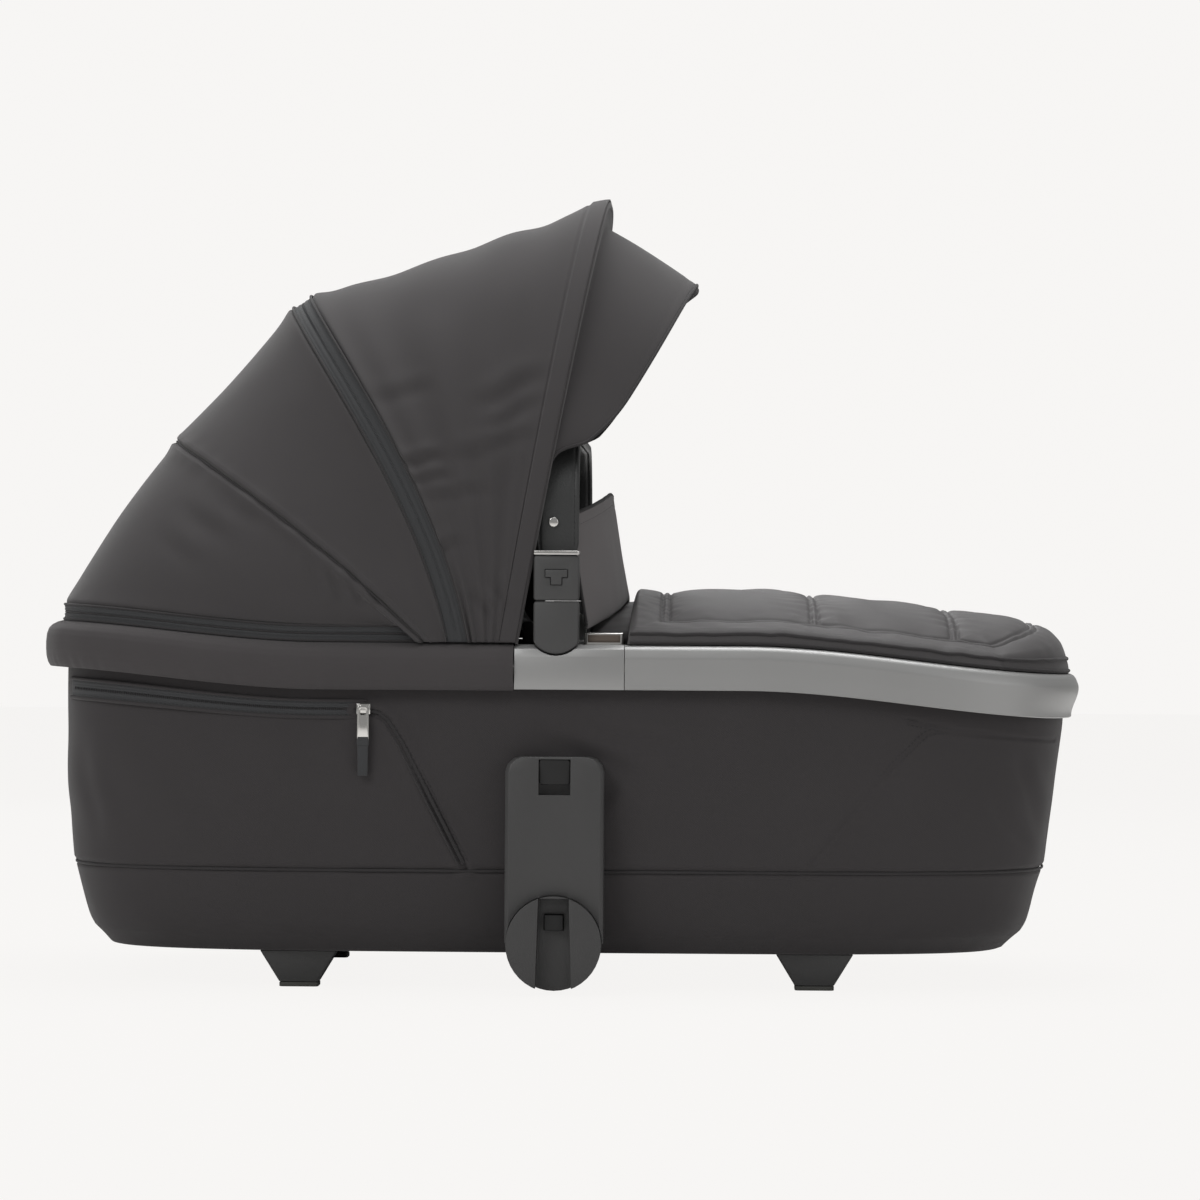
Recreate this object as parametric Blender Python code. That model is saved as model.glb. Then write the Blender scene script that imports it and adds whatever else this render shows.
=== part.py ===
# Carrycot for a pushchair: a fabric tub on a moulded base, with a rim, hood, apron and carry handle.
# Metres, +Z up. +X is the foot end, -X the head end, -Y the child's right side, Z = 0 under the feet.
import math

import bmesh
import bpy
import numpy as np
from mathutils import Matrix, Vector

# Overall plan
body_half_length = 0.4245
rim_half_width = 0.215
pad_bulge = 0.005
tub_height = 0.2409
plan_power = 4.4
ring_points = 44
gap = 0.0003
cut_overrun = 0.004

# Rim
rim_height = 0.0355
rim_top = tub_height + rim_height
rim_width = 0.024
rim_wall = 0.005
rim_roof = 0.003
rim_inner_depth = 0.030
rim_bevel_in = 0.008
rim_bevel_down = 0.0095
foot_drop = 0.022
head_rise = 0.016
drop_start_share = 0.35
rise_start_share = 0.44
tube_top_depth = 0.010
sheer_start_share = 0.64

# Handle mount, as reaches along X from the handle's axis
mount_head_reach = 0.0329
mount_foot_reach = 0.0541
pad_start = 0.0332
pad_side_bulge = 0.0035
pad_extra_height = 0.0025
ledge_inboard = 0.027
ledge_depth = 0.020
pad_tuck = 0.002
pad_swell_start_share = 0.2

# Tub: rows from the bottom up, as shares of its height, half length at the head, the same at the foot, half width
tub_level_shares = (
    (0.133, 0.870, 0.846, 0.800),
    (0.150, 0.892, 0.876, 0.850),
    (0.187, 0.909, 0.898, 0.8855),
    (0.240, 0.919, 0.909, 0.909),
    (0.322, 0.930, 0.919, 0.931),
    (0.415, 0.942, 0.936, 0.949),
    (0.640, 0.9575, 0.952, 0.963),
    (0.830, 0.9575, 0.962, 0.957),
    (1.000, 0.9570, 0.971, 0.9465),
)
cover_thickness = 0.0025
board_thickness = 0.002
strap_thickness = 0.002
strap_width = 0.040
liner_thickness = 0.002
hem_width = 0.030

# Base tray and feet
tray_thickness = 0.003
tray_wall_height = 0.030
vent_length = 0.070
vent_width = 0.008
vent_pitch = 0.024
vent_count = 5
foot_place_x = 0.207
foot_place_y = 0.148
foot_top_length = 0.062
foot_bottom_length = 0.0315
foot_top_width = 0.034
foot_bottom_width = 0.024
foot_pad_height = 0.0035
foot_chamfer = 0.003

# Mattress
mattress_end_clear = 0.0024
mattress_side_clear = 0.0036
mattress_edge_height = 0.022
mattress_crown = 0.008
mattress_round = 0.009

# Adapters
adapter_half_width = 0.039
adapter_bottom = 0.041
adapter_top = 0.188
adapter_corner = 0.012
adapter_face = 0.228
adapter_chamfer = 0.003
socket_radius = 0.0377
socket_face = 0.236
socket_back = 0.2125
slot_top_width = 0.024
slot_bottom_width = 0.0286
slot_top_rise = 0.036
slot_back_wall = 0.008
latch_width = 0.015
latch_height = 0.0125
latch_rise = 0.0165
latch_proud = 0.007
latch_travel = 0.005
release_width = 0.0244
release_height = 0.0195
release_drop = 0.0022
release_travel = 0.008
release_depth = 0.0125
release_corner = 0.0025

# Carry handle
handle_axis_rise = 0.0136
handle_axis_height = rim_top + handle_axis_rise
housing_half_width = 0.018
housing_rise = 0.0576
housing_top = handle_axis_height + housing_rise
housing_outer = 0.2137
housing_inner = 0.190
housing_arc_radius = 0.0215
housing_seam_rise = 0.0212
housing_seam = handle_axis_height + housing_seam_rise
housing_bevel = 0.0025
band_height = 0.0032
band_proud = 0.0004
band_corner = 0.002
strap_centre_y = 0.1965
strap_depth = 0.0092
handle_strap_width = 0.0347
handle_rise = 0.1577
handle_top = handle_axis_height + handle_rise
handle_corner = 0.056
ear_thickness = 0.0062
ear_half_width = 0.013
pin_radius = 0.004
pin_blind = 0.010
release_tab_width = 0.0174
release_tab_stem_width = 0.0085
release_tab_height = 0.0118
release_tab_rise = 0.0339
release_tab_travel = 0.003
release_tab_proud = 0.0012
rivet_radius = 0.004
rivet_rise = 0.0836
rivet_head = 0.0018
rivet_offset = 0.0028
rivet_bevel = 0.0008
catch_length = 0.0316
catch_width = 0.021
catch_proud = 0.0096
catch_top = rim_top + catch_proud
catch_corner = 0.002
catch_bevel = 0.0012
catch_sink = 0.009
catch_travel = 0.004
catch_start = 0.0217
catch_inner = 0.166

# Hood: bows about one hinge axis, angles in degrees above the foot direction
hood_axis_x = -0.0385
hood_axis_rise = 0.0116
hood_axis_z = rim_top + hood_axis_rise
front_bow_angle = 79.05
zip_bow_angle = 123.6
rear_bow_angle = 151.5
front_bow_radius = 0.3585
zip_bow_radius = 0.3205
rear_bow_radius = 0.3190
bow_width = 0.012
bow_thickness = 0.004
bow_half_span = 0.2075
bow_pitch = 0.006
bow_power = 0.70
bow_eye_radius = 0.0075
hinge_pin_radius = 0.003
hinge_plate_width = 0.0095
hinge_plate_thickness = 0.003
fabric_thickness = 0.002
front_sag = 0.0065
rear_swell = 0.004
zip_tape_width = 0.016
zip_end_x = -0.078
rear_end_x = -0.105
seam_pull = 3.0
seam_upright_share = 0.3
rim_line_setback = 0.026
rim_line_run = 0.006
rim_line_power = 1.3
rim_tape_setback = 0.080
rim_tape_height = 0.0115
rim_tape_thickness = 0.0016
rim_tape_inset = 0.010
visor_length = 0.0892
visor_power = 0.65
visor_step = 0.018
visor_end_rise = 0.136
visor_end_height = hood_axis_z + visor_end_rise
visor_droop = 32.3
visor_thickness = 0.0024

# Apron and wind flap
apron_start = 0.0560
apron_inset = 0.0075
apron_edge_height = 0.010
apron_crown = 0.0455
apron_thickness = 0.012
apron_channel_dent = 0.005
apron_first_seam = 0.2052
apron_second_seam = 0.3173
apron_border = 0.030
apron_rounding_share = 0.55
flap_half_span = 0.176
flap_rise = 0.1236
flap_side_rise = 0.1026
flap_top = rim_top + flap_rise
flap_side_top = rim_top + flap_side_rise
flap_wrap = 0.030
flap_lean = 0.015
flap_thickness = 0.0025
flap_side_foot = 0.0121
flap_side_base = rim_top + flap_side_foot

# Side pocket
pocket_tape_drop = 0.0164
pocket_tape_rise = tub_height - pocket_tape_drop
pocket_tape_height = 0.012
pocket_tape_thickness = 0.0012
pocket_end_share = 0.3465
pocket_start_share = 0.7674
pocket_end_x = -pocket_end_share * body_half_length
pocket_start_x = -pocket_start_share * body_half_length
slider_length = 0.011
slider_height = 0.0085
slider_thickness = 0.004
slider_clear = 0.0006
slider_corner = 0.002
pull_length = 0.028
pull_width = 0.006
pull_thickness = 0.0012


def smooth(value, low, high):
    share = min(max((value - low) / (high - low), 0.0), 1.0)
    return share * share * (3.0 - 2.0 * share)


def material(name, colour, roughness, metallic=0.0):
    made = bpy.data.materials.new(name)
    made.use_nodes = True
    shader = made.node_tree.nodes["Principled BSDF"]
    shader.inputs["Base Color"].default_value = (*colour, 1.0)
    shader.inputs["Roughness"].default_value = roughness
    shader.inputs["Metallic"].default_value = metallic
    return made


def add_object(name, mesh_builder, finish, soft=True):
    mesh = bpy.data.meshes.new(name)
    bmesh.ops.recalc_face_normals(mesh_builder, faces=mesh_builder.faces)
    mesh_builder.to_mesh(mesh)
    mesh_builder.free()
    mesh.materials.append(finish)
    if soft:
        mesh.shade_smooth()
        mesh.set_sharp_from_angle(angle=math.radians(35.0))
    made = bpy.data.objects.new(name, mesh)
    bpy.context.collection.objects.link(made)
    return made


def loft(rings, wrap=False):
    # Joins closed rings of equal length with faces; open lofts get a cap at each end.
    builder = bmesh.new()
    rows = [[builder.verts.new(point) for point in ring] for ring in rings]
    pairs = list(zip(rows, rows[1:]))
    if wrap:
        pairs.append((rows[-1], rows[0]))
    for lower, upper in pairs:
        for index in range(len(lower)):
            following = (index + 1) % len(lower)
            builder.faces.new((lower[index], lower[following], upper[following], upper[index]))
    if not wrap:
        builder.faces.new(rows[0])
        builder.faces.new(rows[-1])
    return builder


def slab(top_grid, bottom_grid):
    # Closes two matching grids of points into one thin body.
    builder = bmesh.new()
    top = [[builder.verts.new(point) for point in row] for row in top_grid]
    bottom = [[builder.verts.new(point) for point in row] for row in bottom_grid]
    rows = len(top)
    columns = len(top[0])
    for grid in (top, bottom):
        for i in range(rows - 1):
            for j in range(columns - 1):
                builder.faces.new((grid[i][j], grid[i][j + 1], grid[i + 1][j + 1], grid[i + 1][j]))
    edge = [(0, j) for j in range(columns)]
    edge += [(i, columns - 1) for i in range(1, rows)]
    edge += [(rows - 1, j) for j in range(columns - 2, -1, -1)]
    edge += [(i, 0) for i in range(rows - 2, 0, -1)]
    for (i, j), (k, l) in zip(edge, edge[1:] + edge[:1]):
        builder.faces.new((top[i][j], top[k][l], bottom[k][l], bottom[i][j]))
    return builder


def prism(outline, low, high, axis="Y"):
    # Extrudes an outline in the plane across the axis, from low to high along it.
    place = {
        "X": lambda a, b, along: Vector((along, a, b)),
        "Y": lambda a, b, along: Vector((a, along, b)),
        "Z": lambda a, b, along: Vector((a, b, along)),
    }[axis]
    return loft([[place(a, b, along) for a, b in outline] for along in (low, high)])


def sided(side, near, far):
    # The lower and upper Y between two reaches on one side of the cot.
    return sorted((side * near, side * far))


def box_outline(centre_a, centre_b, size_a, size_b, corner=0.0, steps=3):
    if corner == 0.0:
        signs = ((-1, -1), (1, -1), (1, 1), (-1, 1))
        return [(centre_a + sa * size_a / 2, centre_b + sb * size_b / 2) for sa, sb in signs]
    points = []
    for turn, (sa, sb) in enumerate(((1, 1), (-1, 1), (-1, -1), (1, -1))):
        for step in range(steps + 1):
            angle = math.pi / 2 * (turn + step / steps)
            a = centre_a + sa * (size_a / 2 - corner) + corner * math.cos(angle)
            b = centre_b + sb * (size_b / 2 - corner) + corner * math.sin(angle)
            points.append((a, b))
    return points


def circle_outline(centre_a, centre_b, radius, count=24):
    turn = 2 * math.pi / count
    return [(centre_a + radius * math.cos(turn * k), centre_b + radius * math.sin(turn * k)) for k in range(count)]


def cut(target, name, builder):
    # A guide solid that is taken out of its target.
    cutter = add_object(name, builder, cutter_finish, soft=False)
    cutter.hide_render = True
    cutter.display_type = "WIRE"
    modifier = target.modifiers.new(name, "BOOLEAN")
    modifier.operation = "DIFFERENCE"
    modifier.solver = "EXACT"
    modifier.object = cutter
    return cutter


def hang(child, pivot_name, pivot_place):
    # Hangs a moving piece on an empty that stands on its joint's axis.
    pivot = bpy.data.objects.get(pivot_name)
    if pivot is None:
        pivot = bpy.data.objects.new(pivot_name, None)
        bpy.context.collection.objects.link(pivot)
        pivot.location = pivot_place
    child.parent = pivot
    child.matrix_parent_inverse = Matrix.Translation(-Vector(pivot_place))


def superellipse_turns(count):
    # Turns round the plan, spaced by arc length and by how fast the outline bends.
    dense = np.linspace(0.0, 2.0 * math.pi, 4001)
    ratio = body_half_length / rim_half_width
    share = 2.0 / plan_power
    x = ratio * np.sign(np.cos(dense)) * np.abs(np.cos(dense)) ** share
    y = np.sign(np.sin(dense)) * np.abs(np.sin(dense)) ** share
    step = np.hypot(np.diff(x), np.diff(y))
    heading = np.unwrap(np.arctan2(np.diff(y), np.diff(x)))
    bend = np.abs(np.diff(heading, prepend=heading[0]))
    arc_weight_share = 0.55
    measure = arc_weight_share * step / step.sum() + (1 - arc_weight_share) * bend / bend.sum()
    along = np.concatenate(([0.0], np.cumsum(measure)))
    along /= along[-1]
    quarter = np.interp(np.linspace(0.0, 0.25, count // 4 + 1), along, dense)
    turns = list(quarter[:-1])
    turns += [math.pi - turn for turn in quarter[::-1][:-1]]
    turns += [math.pi + turn for turn in quarter[:-1]]
    turns += [2 * math.pi - turn for turn in quarter[::-1][:-1]]
    return turns


ring_turns = superellipse_turns(ring_points)


def plan_point(turn, head_reach, foot_reach, half_width):
    centre = (foot_reach - head_reach) / 2
    half_length = (foot_reach + head_reach) / 2
    share = 2.0 / plan_power
    x = centre + half_length * math.copysign(abs(math.cos(turn)) ** share, math.cos(turn))
    y = half_width * math.copysign(abs(math.sin(turn)) ** share, math.sin(turn))
    return x, y


def half_width_at(x, head_reach, foot_reach, half_width):
    centre = (foot_reach - head_reach) / 2
    half_length = (foot_reach + head_reach) / 2
    share = min(abs(x - centre) / half_length, 1.0)
    return half_width * (1.0 - share ** plan_power) ** (1.0 / plan_power)


rim_head_reach = body_half_length - pad_bulge
rim_foot_reach = body_half_length


def rim_sheer(x):
    rise = head_rise * smooth(-x, rise_start_share * body_half_length, body_half_length)
    drop = foot_drop * smooth(x, drop_start_share * body_half_length, body_half_length)
    return rise - drop


def turn_at_x(x, inset=0.0):
    # The turn in the upper half of the plan where the rim's outline passes a given x.
    centre = (rim_foot_reach - rim_head_reach) / 2
    half_length = (rim_foot_reach + rim_head_reach) / 2 - inset
    share = (x - centre) / half_length
    return math.acos(math.copysign(abs(share) ** (plan_power / 2.0), share))


def rim_point(turn, inset, depth):
    x, y = plan_point(turn, rim_head_reach - inset, rim_foot_reach - inset, rim_half_width - inset)
    return Vector((x, y, rim_top - depth + rim_sheer(x)))


for existing in list(bpy.data.objects):
    bpy.data.objects.remove(existing, do_unlink=True)

cutter_finish = material("cutter", (0.8, 0.1, 0.1), 0.5)
body_fabric = material("body_fabric", (0.045, 0.041, 0.042), 0.9)
hood_fabric = material("hood_fabric", (0.068, 0.063, 0.064), 0.92)
piping = material("piping", (0.05, 0.048, 0.048), 0.8)
board_plastic = material("board_plastic", (0.25, 0.25, 0.25), 0.6)
tray_plastic = material("tray_plastic", (0.03, 0.03, 0.03), 0.5)
rubber = material("rubber", (0.05, 0.05, 0.045), 0.75)
silver = material("silver_plastic", (0.40, 0.40, 0.39), 0.35, 0.6)
aluminium = material("aluminium", (0.6, 0.6, 0.6), 0.3, 1.0)
chrome = material("chrome", (0.75, 0.75, 0.75), 0.12, 1.0)
dark_plastic = material("dark_plastic", (0.055, 0.055, 0.055), 0.5)
leatherette = material("leatherette", (0.035, 0.037, 0.037), 0.5)
lining = material("lining", (0.35, 0.34, 0.33), 0.9)
mattress_cover = material("mattress_cover", (0.7, 0.69, 0.67), 0.9)
spring_steel = material("spring_steel", (0.35, 0.35, 0.35), 0.4, 1.0)


# Tub shells, all offset inwards from the same outer levels
def tub_levels():
    rows = [
        (h * tub_height, head * body_half_length, foot * body_half_length, half * rim_half_width)
        for h, head, foot, half in tub_level_shares
    ]
    levels = []
    for index, row in enumerate(rows):
        below = rows[max(index - 1, 0)]
        above = rows[min(index + 1, len(rows) - 1)]
        along = Vector((above[3] - below[3], above[0] - below[0])).normalized()
        levels.append((*row, along.y, along.x))
    return levels


outer_levels = tub_levels()


def tub_ring(level, depth, lift=0.0):
    height, head, foot, half, inward, up = level
    shift = depth * inward
    share = smooth(height, sheer_start_share * tub_height, tub_height)
    ring = []
    for turn in ring_turns:
        x, y = plan_point(turn, head - shift, foot - shift, half - shift)
        ring.append(Vector((x, y, height + lift + depth * up + share * rim_sheer(x))))
    return ring


def raised_level(height):
    # A tub level carried up past the table, keeping its top outline.
    head, foot, half = outer_levels[-1][1:4]
    return (height, head, foot, half, 1.0, 0.0)


def tub_half_width(height):
    rows = [(level[0], level[3]) for level in outer_levels]
    return float(np.interp(height, [row[0] for row in rows], [row[1] for row in rows]))


tube_radius = (rim_width - 2 * rim_wall - 2 * gap) / 2
tube_depth = tube_top_depth + tube_radius
wall_top = rim_top - tube_top_depth - 2 * tube_radius - gap
cover_bottom = outer_levels[0][0] - cover_thickness
tray_bottom = outer_levels[0][0] + gap
tray_top = tray_bottom + tray_wall_height
tray_depth = cover_thickness + gap
board_depth = cover_thickness + gap
strap_plate_depth = board_depth + board_thickness + gap
liner_depth = strap_plate_depth + strap_thickness + gap
liner_top = rim_top - rim_inner_depth - gap

hem_level = (cover_bottom, *[reach - hem_width for reach in outer_levels[0][1:4]], 0.0, 1.0)
cover_rings = [tub_ring(hem_level, 0.0), tub_ring((cover_bottom, *outer_levels[0][1:4], 0.0, 1.0), 0.0)]
cover_rings += [tub_ring(level, 0.0) for level in outer_levels[1:]]
cover_rings.append(tub_ring(raised_level(wall_top), 0.0))
cover_rings.append(tub_ring(raised_level(wall_top), cover_thickness))
cover_rings += [tub_ring(level, cover_thickness) for level in reversed(outer_levels[1:])]
inner_bottom = (outer_levels[0][0], *outer_levels[0][1:4], 0.0, 1.0)
cover_rings.append(tub_ring(inner_bottom, 0.0))
cover_rings.append(tub_ring((outer_levels[0][0], *hem_level[1:4], 0.0, 1.0), 0.0))
tub_cover = add_object("tub_cover", loft(cover_rings, wrap=True), body_fabric)


def interpolate_level(height):
    heights = [level[0] for level in outer_levels]
    columns = [float(np.interp(height, heights, [level[k] for level in outer_levels])) for k in range(1, 6)]
    return (height, *columns)


def shell_levels(low, high):
    inside = [level for level in outer_levels[2::2] if low + gap < level[0] < high - gap]
    return [interpolate_level(low), *inside, interpolate_level(high)]


tray_side = [level for level in shell_levels(outer_levels[1][0], tray_top)]
tray_floor_level = (tray_bottom, *outer_levels[0][1:4], 0.5, 0.0)
tray_rings = [tub_ring(tray_floor_level, 2 * tray_depth)]
tray_rings += [tub_ring(level, tray_depth) for level in tray_side]
tray_rings += [tub_ring(level, tray_depth + tray_thickness) for level in reversed(tray_side)]
tray_rings.append(tub_ring(tray_floor_level, 2 * (tray_depth + tray_thickness), lift=tray_thickness))
base_tray = add_object("base_tray", loft(tray_rings), tray_plastic)
for index in range(vent_count):
    place = (index - (vent_count - 1) / 2) * vent_pitch
    for side, end in (("head", -1), ("foot", 1)):
        centre = end * foot_place_x / 2
        outline = box_outline(centre, place, vent_length, vent_width, vent_width / 2 - gap)
        slot_body = prism(outline, tray_bottom - cut_overrun, tray_bottom + tray_thickness + cut_overrun, "Z")
        cut(base_tray, f"vent_{side}_{index}", slot_body)

board_top = wall_top
board_levels = shell_levels(tray_top + gap, tub_height) + [raised_level(board_top)]
board_rings = [tub_ring(level, board_depth) for level in board_levels]
board_rings += [tub_ring(level, board_depth + board_thickness) for level in reversed(board_levels)]
add_object("wall_board", loft(board_rings, wrap=True), board_plastic)

liner_floor = tray_bottom + tray_thickness + gap
liner_side = shell_levels(outer_levels[2][0], liner_top - gap)
liner_floor_level = (liner_floor, *outer_levels[0][1:4], 1.0, 0.0)
liner_rings = [tub_ring(liner_floor_level, liner_depth)]
liner_rings += [tub_ring(level, liner_depth) for level in liner_side]
liner_rings += [tub_ring(level, liner_depth + liner_thickness) for level in reversed(liner_side)]
liner_rings.append(tub_ring(liner_floor_level, liner_depth + liner_thickness, lift=liner_thickness))
add_object("liner", loft(liner_rings), lining)

# Mattress: a crowned pad with rounded, drawn-in sides
mattress_bottom = liner_floor + liner_thickness + gap
mattress_half_length = outer_levels[0][2] - liner_depth - liner_thickness - mattress_end_clear
mattress_half_width = outer_levels[0][3] - liner_depth - liner_thickness - mattress_side_clear


def mattress_ring(inset, height):
    ring = []
    for turn in ring_turns[::2]:
        x, y = plan_point(turn, *[mattress_half_length - inset] * 2, mattress_half_width - inset)
        ring.append(Vector((x, y, mattress_bottom + height)))
    return ring


mattress_rings = [mattress_ring(mattress_round, 0.0), mattress_ring(mattress_round / 4, mattress_round / 2)]
mattress_rings += [mattress_ring(0.0, mattress_edge_height / 2)]
mattress_rings += [mattress_ring(mattress_round / 4, mattress_edge_height - mattress_round / 4)]
for share in (0.08, 0.25, 0.5, 0.75, 0.93):
    inset = mattress_round + share * (mattress_half_width - mattress_round)
    crown = mattress_crown * math.sin(share * math.pi / 2)
    mattress_rings.append(mattress_ring(inset, mattress_edge_height + crown))
add_object("mattress", loft(mattress_rings), mattress_cover)


# Inner straps that tie the adapters up to the rim tube
def side_strap(side):
    rings = []
    for level in shell_levels(tray_top + gap, tub_height) + [raised_level(wall_top)]:
        height, head, foot, half, inward, up = level
        ring = []
        for sx, depth in ((-1, 0.0), (1, 0.0), (1, strap_thickness), (-1, strap_thickness)):
            total = strap_plate_depth + depth
            ring.append(Vector((sx * strap_width / 2, side * (half - total * inward), height + total * up)))
        rings.append(ring)
    return loft(rings)


# Rim tube, rim band, head pad and handle mounts
def rim_frame(turn, inset):
    centre = rim_point(turn, inset, 0.0)
    inner = rim_point(turn, inset + rim_width, 0.0)
    outward = Vector((centre.x - inner.x, centre.y - inner.y, 0.0)).normalized()
    return centre, outward


tube_rings = []
tube_sides = 8
for turn in ring_turns:
    centre = rim_point(turn, rim_width / 2, tube_depth)
    outward = rim_frame(turn, rim_width / 2)[1]
    ring = []
    for k in range(tube_sides):
        angle = 2 * math.pi * k / tube_sides
        ring.append(centre + tube_radius * (math.cos(angle) * outward + Vector((0, 0, math.sin(angle)))))
    tube_rings.append(ring)
add_object("rim_tube", loft(tube_rings, wrap=True), aluminium)

roof = tube_top_depth - gap
band_section = (
    (0.0, rim_height), (0.0, rim_bevel_down), (rim_bevel_in * 0.3, rim_bevel_down * 0.35), (rim_bevel_in, 0.0),
    (rim_width - rim_roof, 0.0), (rim_width, rim_roof), (rim_width, rim_inner_depth),
    (rim_width - rim_wall, rim_inner_depth), (rim_width - rim_wall, roof),
    (rim_wall, roof), (rim_wall, rim_height),
)
pad_section = (
    (pad_tuck, rim_height + pad_extra_height / 2), (-pad_side_bulge * 0.6, rim_height * 0.8),
    (-pad_side_bulge, rim_height * 0.45), (-pad_side_bulge * 0.3, rim_bevel_down * 0.6),
    (rim_bevel_in * 0.6, -pad_extra_height * 0.3), (rim_width / 2, -pad_extra_height / 2),
    (rim_width - rim_roof, 0.0), (rim_width, rim_roof), (rim_width, rim_inner_depth),
    (rim_width - rim_wall, rim_inner_depth), (rim_width - rim_wall, roof), (rim_wall, roof),
    (rim_wall, rim_height),
)


def rim_sweep(section, turns, end_x, bulge=0.0):
    # Both ends are cut square at the same x, whatever the inset.
    rings = []
    for turn in turns:
        ring = []
        for inset, depth in section:
            extra = bulge * smooth(-math.cos(turn), pad_swell_start_share, 1.0) if inset < 0 else 0.0
            place = turn
            if turn in (turns[0], turns[-1]):
                side = 1.0 if math.sin(turn) > 0 else -1.0
                place = side * turn_at_x(end_x, inset)
            ring.append(rim_point(place, inset - extra, depth))
        rings.append(ring)
    return loft(rings)


def turns_between(first, last):
    # The plan's own turns between two ends, but for any that almost meet an end.
    least_turn = 0.02
    inner = [turn for turn in ring_turns if first + least_turn < turn < last - least_turn]
    return [first, *inner, last]


foot_turn = turn_at_x(mount_foot_reach + gap)
foot_turns = [turn - 2 * math.pi for turn in turns_between(2 * math.pi - foot_turn, 2 * math.pi)[:-1]]
foot_turns += turns_between(0.0, foot_turn)
add_object("rim_band_foot", rim_sweep(band_section, foot_turns, mount_foot_reach + gap), silver)
pad_turn = turn_at_x(-pad_start)
pad_turns = turns_between(pad_turn, 2 * math.pi - pad_turn)
head_bulge = pad_bulge - pad_side_bulge
add_object("rim_pad_head", rim_sweep(pad_section, pad_turns, -pad_start, head_bulge), body_fabric)

ledge_section = (
    (0.0, rim_height), (0.0, rim_bevel_down), (rim_bevel_in * 0.3, rim_bevel_down * 0.35), (rim_bevel_in, 0.0),
    (rim_width + ledge_inboard - rim_roof, 0.0), (rim_width + ledge_inboard, rim_roof),
    (rim_width + ledge_inboard, ledge_depth), (rim_width, ledge_depth), (rim_width, rim_inner_depth),
    (rim_width - rim_wall, rim_inner_depth), (rim_width - rim_wall, roof),
    (rim_wall, roof), (rim_wall, rim_height),
)
ear_outer = housing_inner - gap * 2
ear_inner = ear_outer - ear_thickness


def handle_mount(side, word):
    section = [(side * (rim_half_width - inset), rim_top - depth) for inset, depth in ledge_section]
    mount = add_object(f"handle_mount_{word}", prism(section, -mount_head_reach, mount_foot_reach, "X"), silver)
    pocket_radius = housing_arc_radius + 3 * gap
    inner, outer = sided(side, housing_inner - gap, rim_half_width + cut_overrun)
    pocket = prism(circle_outline(0.0, handle_axis_height, pocket_radius, 32), inner, outer)
    cut(mount, f"handle_pocket_{word}", pocket)
    outline = [(-ear_half_width, rim_top - rim_roof), (ear_half_width, rim_top - rim_roof)]
    steps = 8
    for step in range(steps + 1):
        angle = math.pi * step / steps
        point = (ear_half_width * math.cos(angle), handle_axis_height + ear_half_width * math.sin(angle))
        outline.append(point)
    ear = add_object(f"ear_{word}", prism(outline, *sided(side, ear_inner, ear_outer)), silver)
    ear.hide_render = True
    ear.display_type = "WIRE"
    joined = mount.modifiers.new("ear", "BOOLEAN")
    joined.operation = "UNION"
    joined.solver = "EXACT"
    joined.object = ear
    bore = circle_outline(0.0, handle_axis_height, pin_radius + gap, 20)
    reach = sided(side, ear_inner - cut_overrun, ear_outer + gap)
    cut(mount, f"pin_bore_{word}", prism(bore, *reach))
    hole_a = catch_start + catch_length / 2
    hole_b = side * (catch_inner + catch_width / 2)
    well = box_outline(hole_a, hole_b, catch_length + 2 * gap, catch_width + 2 * gap)
    cut(mount, f"catch_well_{word}", prism(well, rim_top - catch_sink - catch_travel, rim_top + cut_overrun, "Z"))
    catch = box_outline(hole_a, hole_b, catch_length, catch_width, catch_corner)
    button = add_object(f"rim_catch_{word}", prism(catch, rim_top - catch_sink + gap, catch_top, "Z"), chrome)
    bevel(button, catch_bevel, 2)
    hang(button, f"catch_pivot_{word}", (hole_a, hole_b, catch_top))


def bevel(target, width, segments, angle=40.0):
    modifier = target.modifiers.new("Bevel", "BEVEL")
    modifier.width = width
    modifier.segments = segments
    modifier.limit_method = "ANGLE"
    modifier.angle_limit = math.radians(angle)


# Carry handle: two housings on hinge pins, metal bands and one padded strap arch
def housing_outline(low, high):
    points = []
    if low is None:
        reach = math.asin(housing_half_width / housing_arc_radius)
        steps = 8
        for step in range(steps + 1):
            angle = -math.pi / 2 - reach + 2 * reach * step / steps
            x = housing_arc_radius * math.cos(angle)
            points.append((x, handle_axis_height + housing_arc_radius * math.sin(angle)))
    else:
        points += [(-housing_half_width, low), (housing_half_width, low)]
    points += [(housing_half_width, high), (-housing_half_width, high)]
    return points


handle_pivot = (0.0, 0.0, handle_axis_height)


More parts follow.
